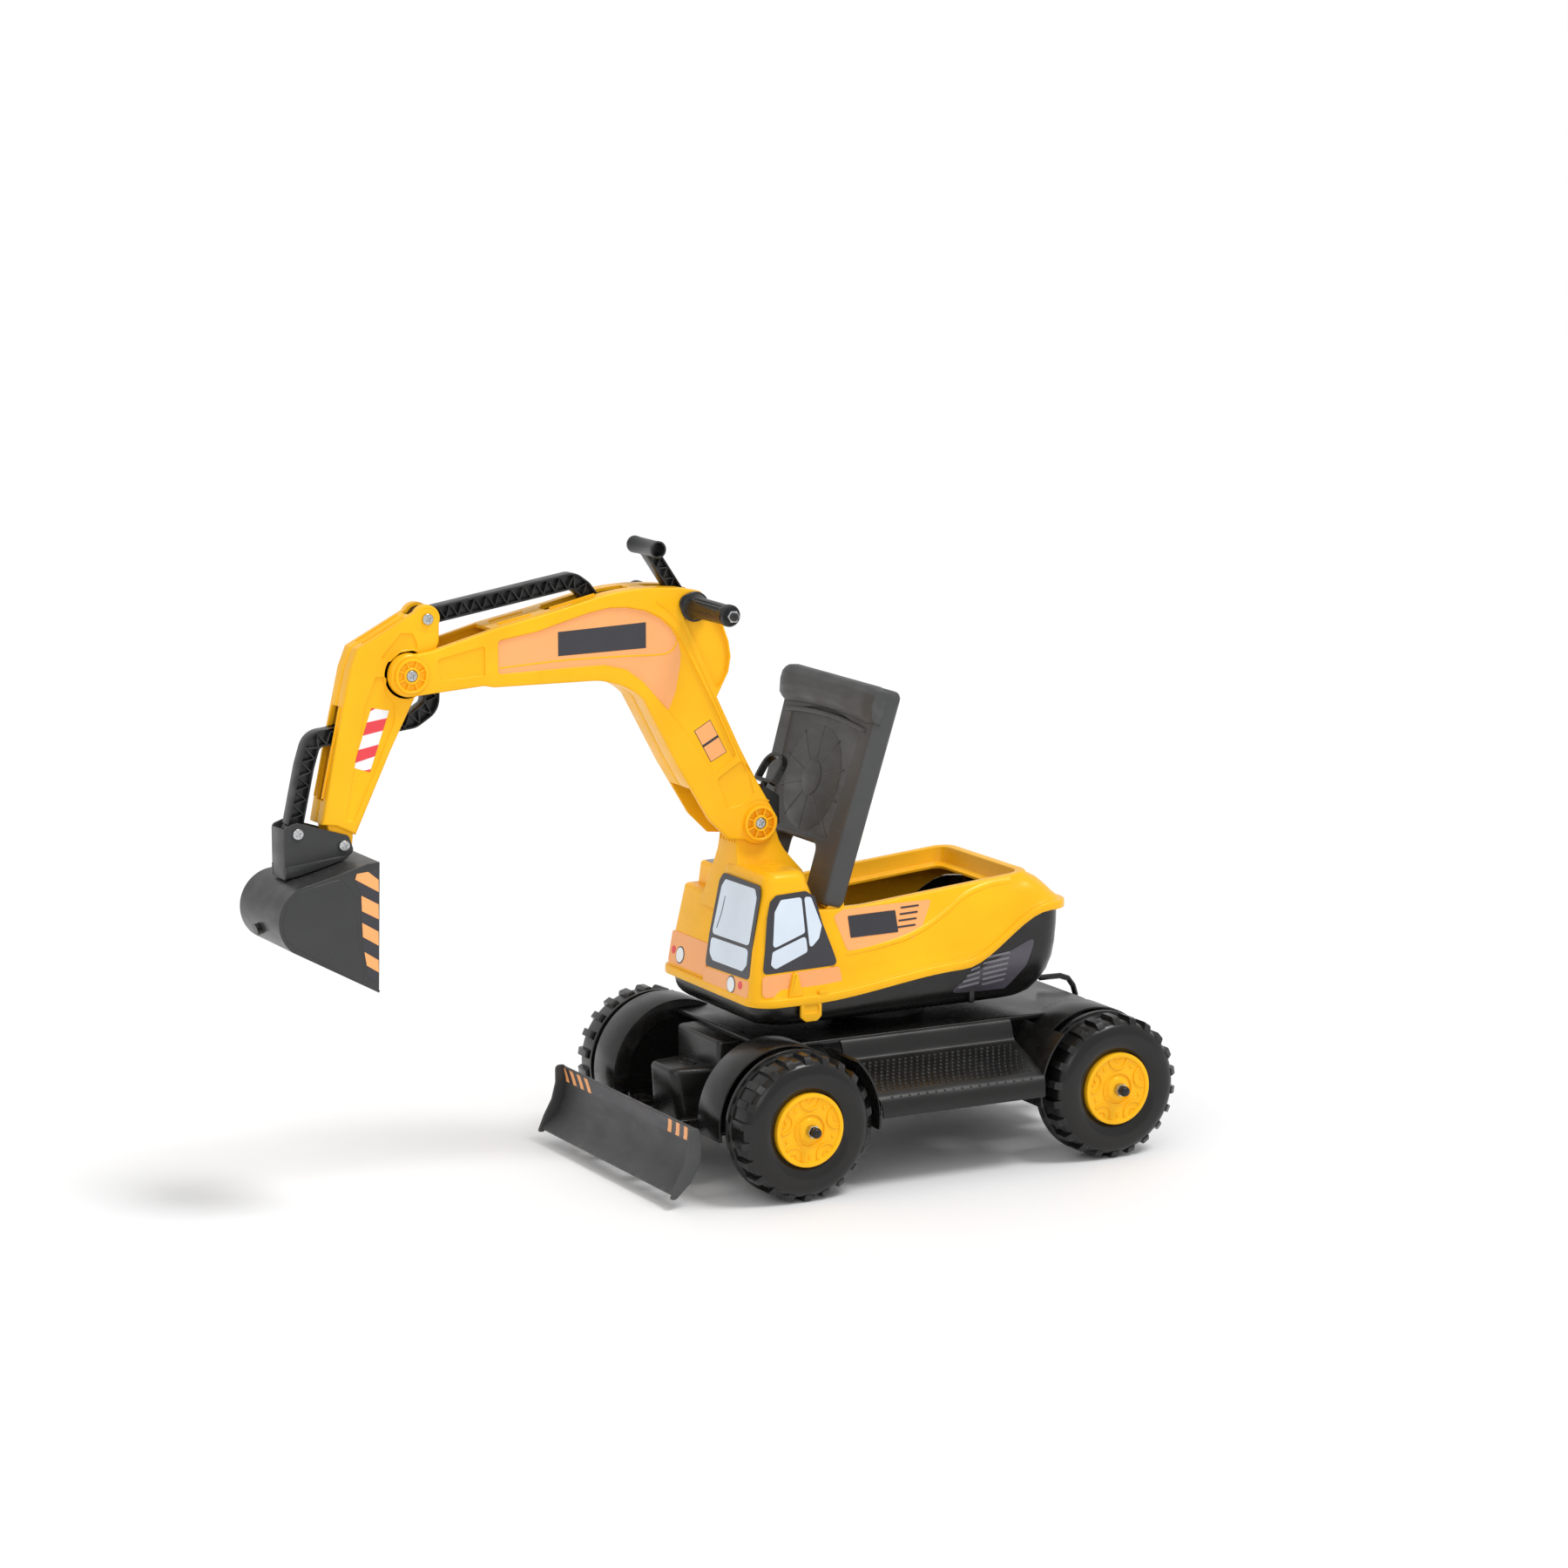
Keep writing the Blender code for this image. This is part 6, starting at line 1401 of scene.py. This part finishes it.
# ---------------------------------------------------------------- screws
def screw(name, place, face, body):
    """Pan-head cross-recess screw in place of the plain CAD bolt."""
    bm = bmesh.new()
    top = face + 0.0003 + HEAD_HEIGHT
    arm, slim = 0.0034, 0.0008
    cross = [(slim, arm), (slim, slim), (arm, slim), (arm, -slim), (slim, -slim), (slim, -arm),
             (-slim, -arm), (-slim, -slim), (-arm, -slim), (-arm, slim), (-slim, slim), (-slim, arm)]
    tilt = Matrix.Rotation(math.radians(28), 2)
    cross = [tuple(Vector(place) + tilt @ Vector(p)) for p in cross][::-1]
    relief(bm, circle(place, HEAD_RADIUS, 40), top - HEAD_HEIGHT, top, 0.0014,
           [(cross, 0.0013, 0.0002)], across, (), 5)
    lathe(bm, [(BOLT_RADIUS, -(face - 0.0008)), (BOLT_RADIUS, face + 0.001)], place, 24)
    piece(name + "_screw", bm, body, STEEL, [name + "_bolt"])


# ---------------------------------------------------------------- scene
FLOOR_REACH = 60.0
SKY_LIGHT = 0.74            # sky strength on surfaces
SKY_SEEN = 1.0              # sky strength as seen by the camera
SUN_POWER = 1.45
SUN_SPREAD = 20             # degrees
SUN_FROM = (0.4, 0.3, 0.95)
CAMERA_AZIMUTH = 61.658     # degrees from the front, towards the digger's left
CAMERA_ELEVATION = 10.195
CAMERA_LENS = 106.155
CAMERA_PLACE = (4.5018, AXLE_Y - 2.3472, 1.3452)


def area_light(name, place, target, size, power):
    data = bpy.data.lights.new(name, "AREA")
    data.shape = "RECTANGLE"
    data.size, data.size_y = size
    data.energy = power
    light = add_object(name, data)
    light.location = place
    light.rotation_euler = (Vector(target) - Vector(place)).to_track_quat("-Z", "Y").to_euler()


def studio():
    """Pale floor, sky, sun, front light and camera."""
    material, nodes, links, shader = new_material("studio_floor")
    tone = ramp(nodes, links, noise(nodes, links, 0.6),
                [(0.3, (0.925, 0.925, 0.93)), (0.7, (0.94, 0.94, 0.94))])
    links.new(tone, shader.inputs["Base Color"])
    shader.inputs["Roughness"].default_value = 0.6
    bm = bmesh.new()
    corners = ((-1, -1), (1, -1), (1, 1), (-1, 1))
    bm.faces.new([bm.verts.new((FLOOR_REACH * x, FLOOR_REACH * y, 0)) for x, y in corners])
    floor = add_object("floor", mesh_from("floor", bm))
    floor.data.materials.append(material)

    world = bpy.data.worlds.new("studio")
    bpy.context.scene.world = world
    world.use_nodes = True
    background = world.node_tree.nodes["Background"]
    background.inputs["Color"].default_value = (1.0, 1.0, 1.0, 1)
    paths = world.node_tree.nodes.new("ShaderNodeLightPath")
    strength = world.node_tree.nodes.new("ShaderNodeMapRange")
    strength.inputs["To Min"].default_value = SKY_LIGHT
    strength.inputs["To Max"].default_value = SKY_SEEN
    world.node_tree.links.new(paths.outputs["Is Camera Ray"], strength.inputs["Value"])
    world.node_tree.links.new(strength.outputs["Result"], background.inputs["Strength"])
    sun = bpy.data.lights.new("key", "SUN")
    sun.energy = SUN_POWER
    sun.angle = math.radians(SUN_SPREAD)
    key = add_object("key", sun)
    key.rotation_euler = Vector(SUN_FROM).to_track_quat("Z", "Y").to_euler()
    area_light("front", (2.4, -2.0, 1.9), (0, 0, 0.3), (2.0, 1.4), 16)
    bpy.context.scene.view_settings.view_transform = "Standard"

    azimuth, elevation = math.radians(CAMERA_AZIMUTH), math.radians(CAMERA_ELEVATION)
    back = Vector((math.sin(azimuth) * math.cos(elevation), -math.cos(azimuth) * math.cos(elevation),
                   math.sin(elevation)))
    data = bpy.data.cameras.new("camera")
    data.lens = CAMERA_LENS
    data.sensor_width = 36.0
    data.clip_end = 200.0
    camera = add_object("camera", data)
    camera.location = CAMERA_PLACE
    camera.rotation_euler = back.to_track_quat("Z", "Y").to_euler()
    bpy.context.scene.camera = camera


def dress_cad_nodes():
    """Finishes for the CAD nodes that stay in view."""
    dark = ("axle_cap", "hitch_pin", "swivel_cover", "lock_guide", "lock_handle", "plug")
    for name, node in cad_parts.items():
        look = BLACK if any(word in name for word in dark) else STEEL
        if name == "turntable_ring":
            look = GREY
        node.data.materials.clear()
        node.data.materials.append(look)
        if not node.hide_render:
            soften(node, 0.0004 if look is STEEL else 0.0008)


for axle_end in AXLES:
    for wheel_side in SIDES:
        wheel(axle_end, wheel_side)
chassis()
dozer_blade()
lower_tub()
upper_shell()
body_decals()
seat_lid()
for arm_side in SIDES:
    boom_half(arm_side)
    dipper_half(arm_side)
    handgrip(arm_side)
control_rod()
bucket_link()
control_lever()
bucket()
bucket_bracket()
for screw_data in (("boom_pivot", BOOM_PIVOT, RECESS, "boom"), ("elbow", ELBOW, RECESS, "boom"),
                   ("rod", ROD_PIN, DIPPER_HALF, "dipper"), ("bucket", BUCKET_PIN, BRACKET_HALF, "bucket"),
                   ("link", LINK_PIN, BRACKET_HALF, "bucket")):
    screw(*screw_data)
dress_cad_nodes()
studio()
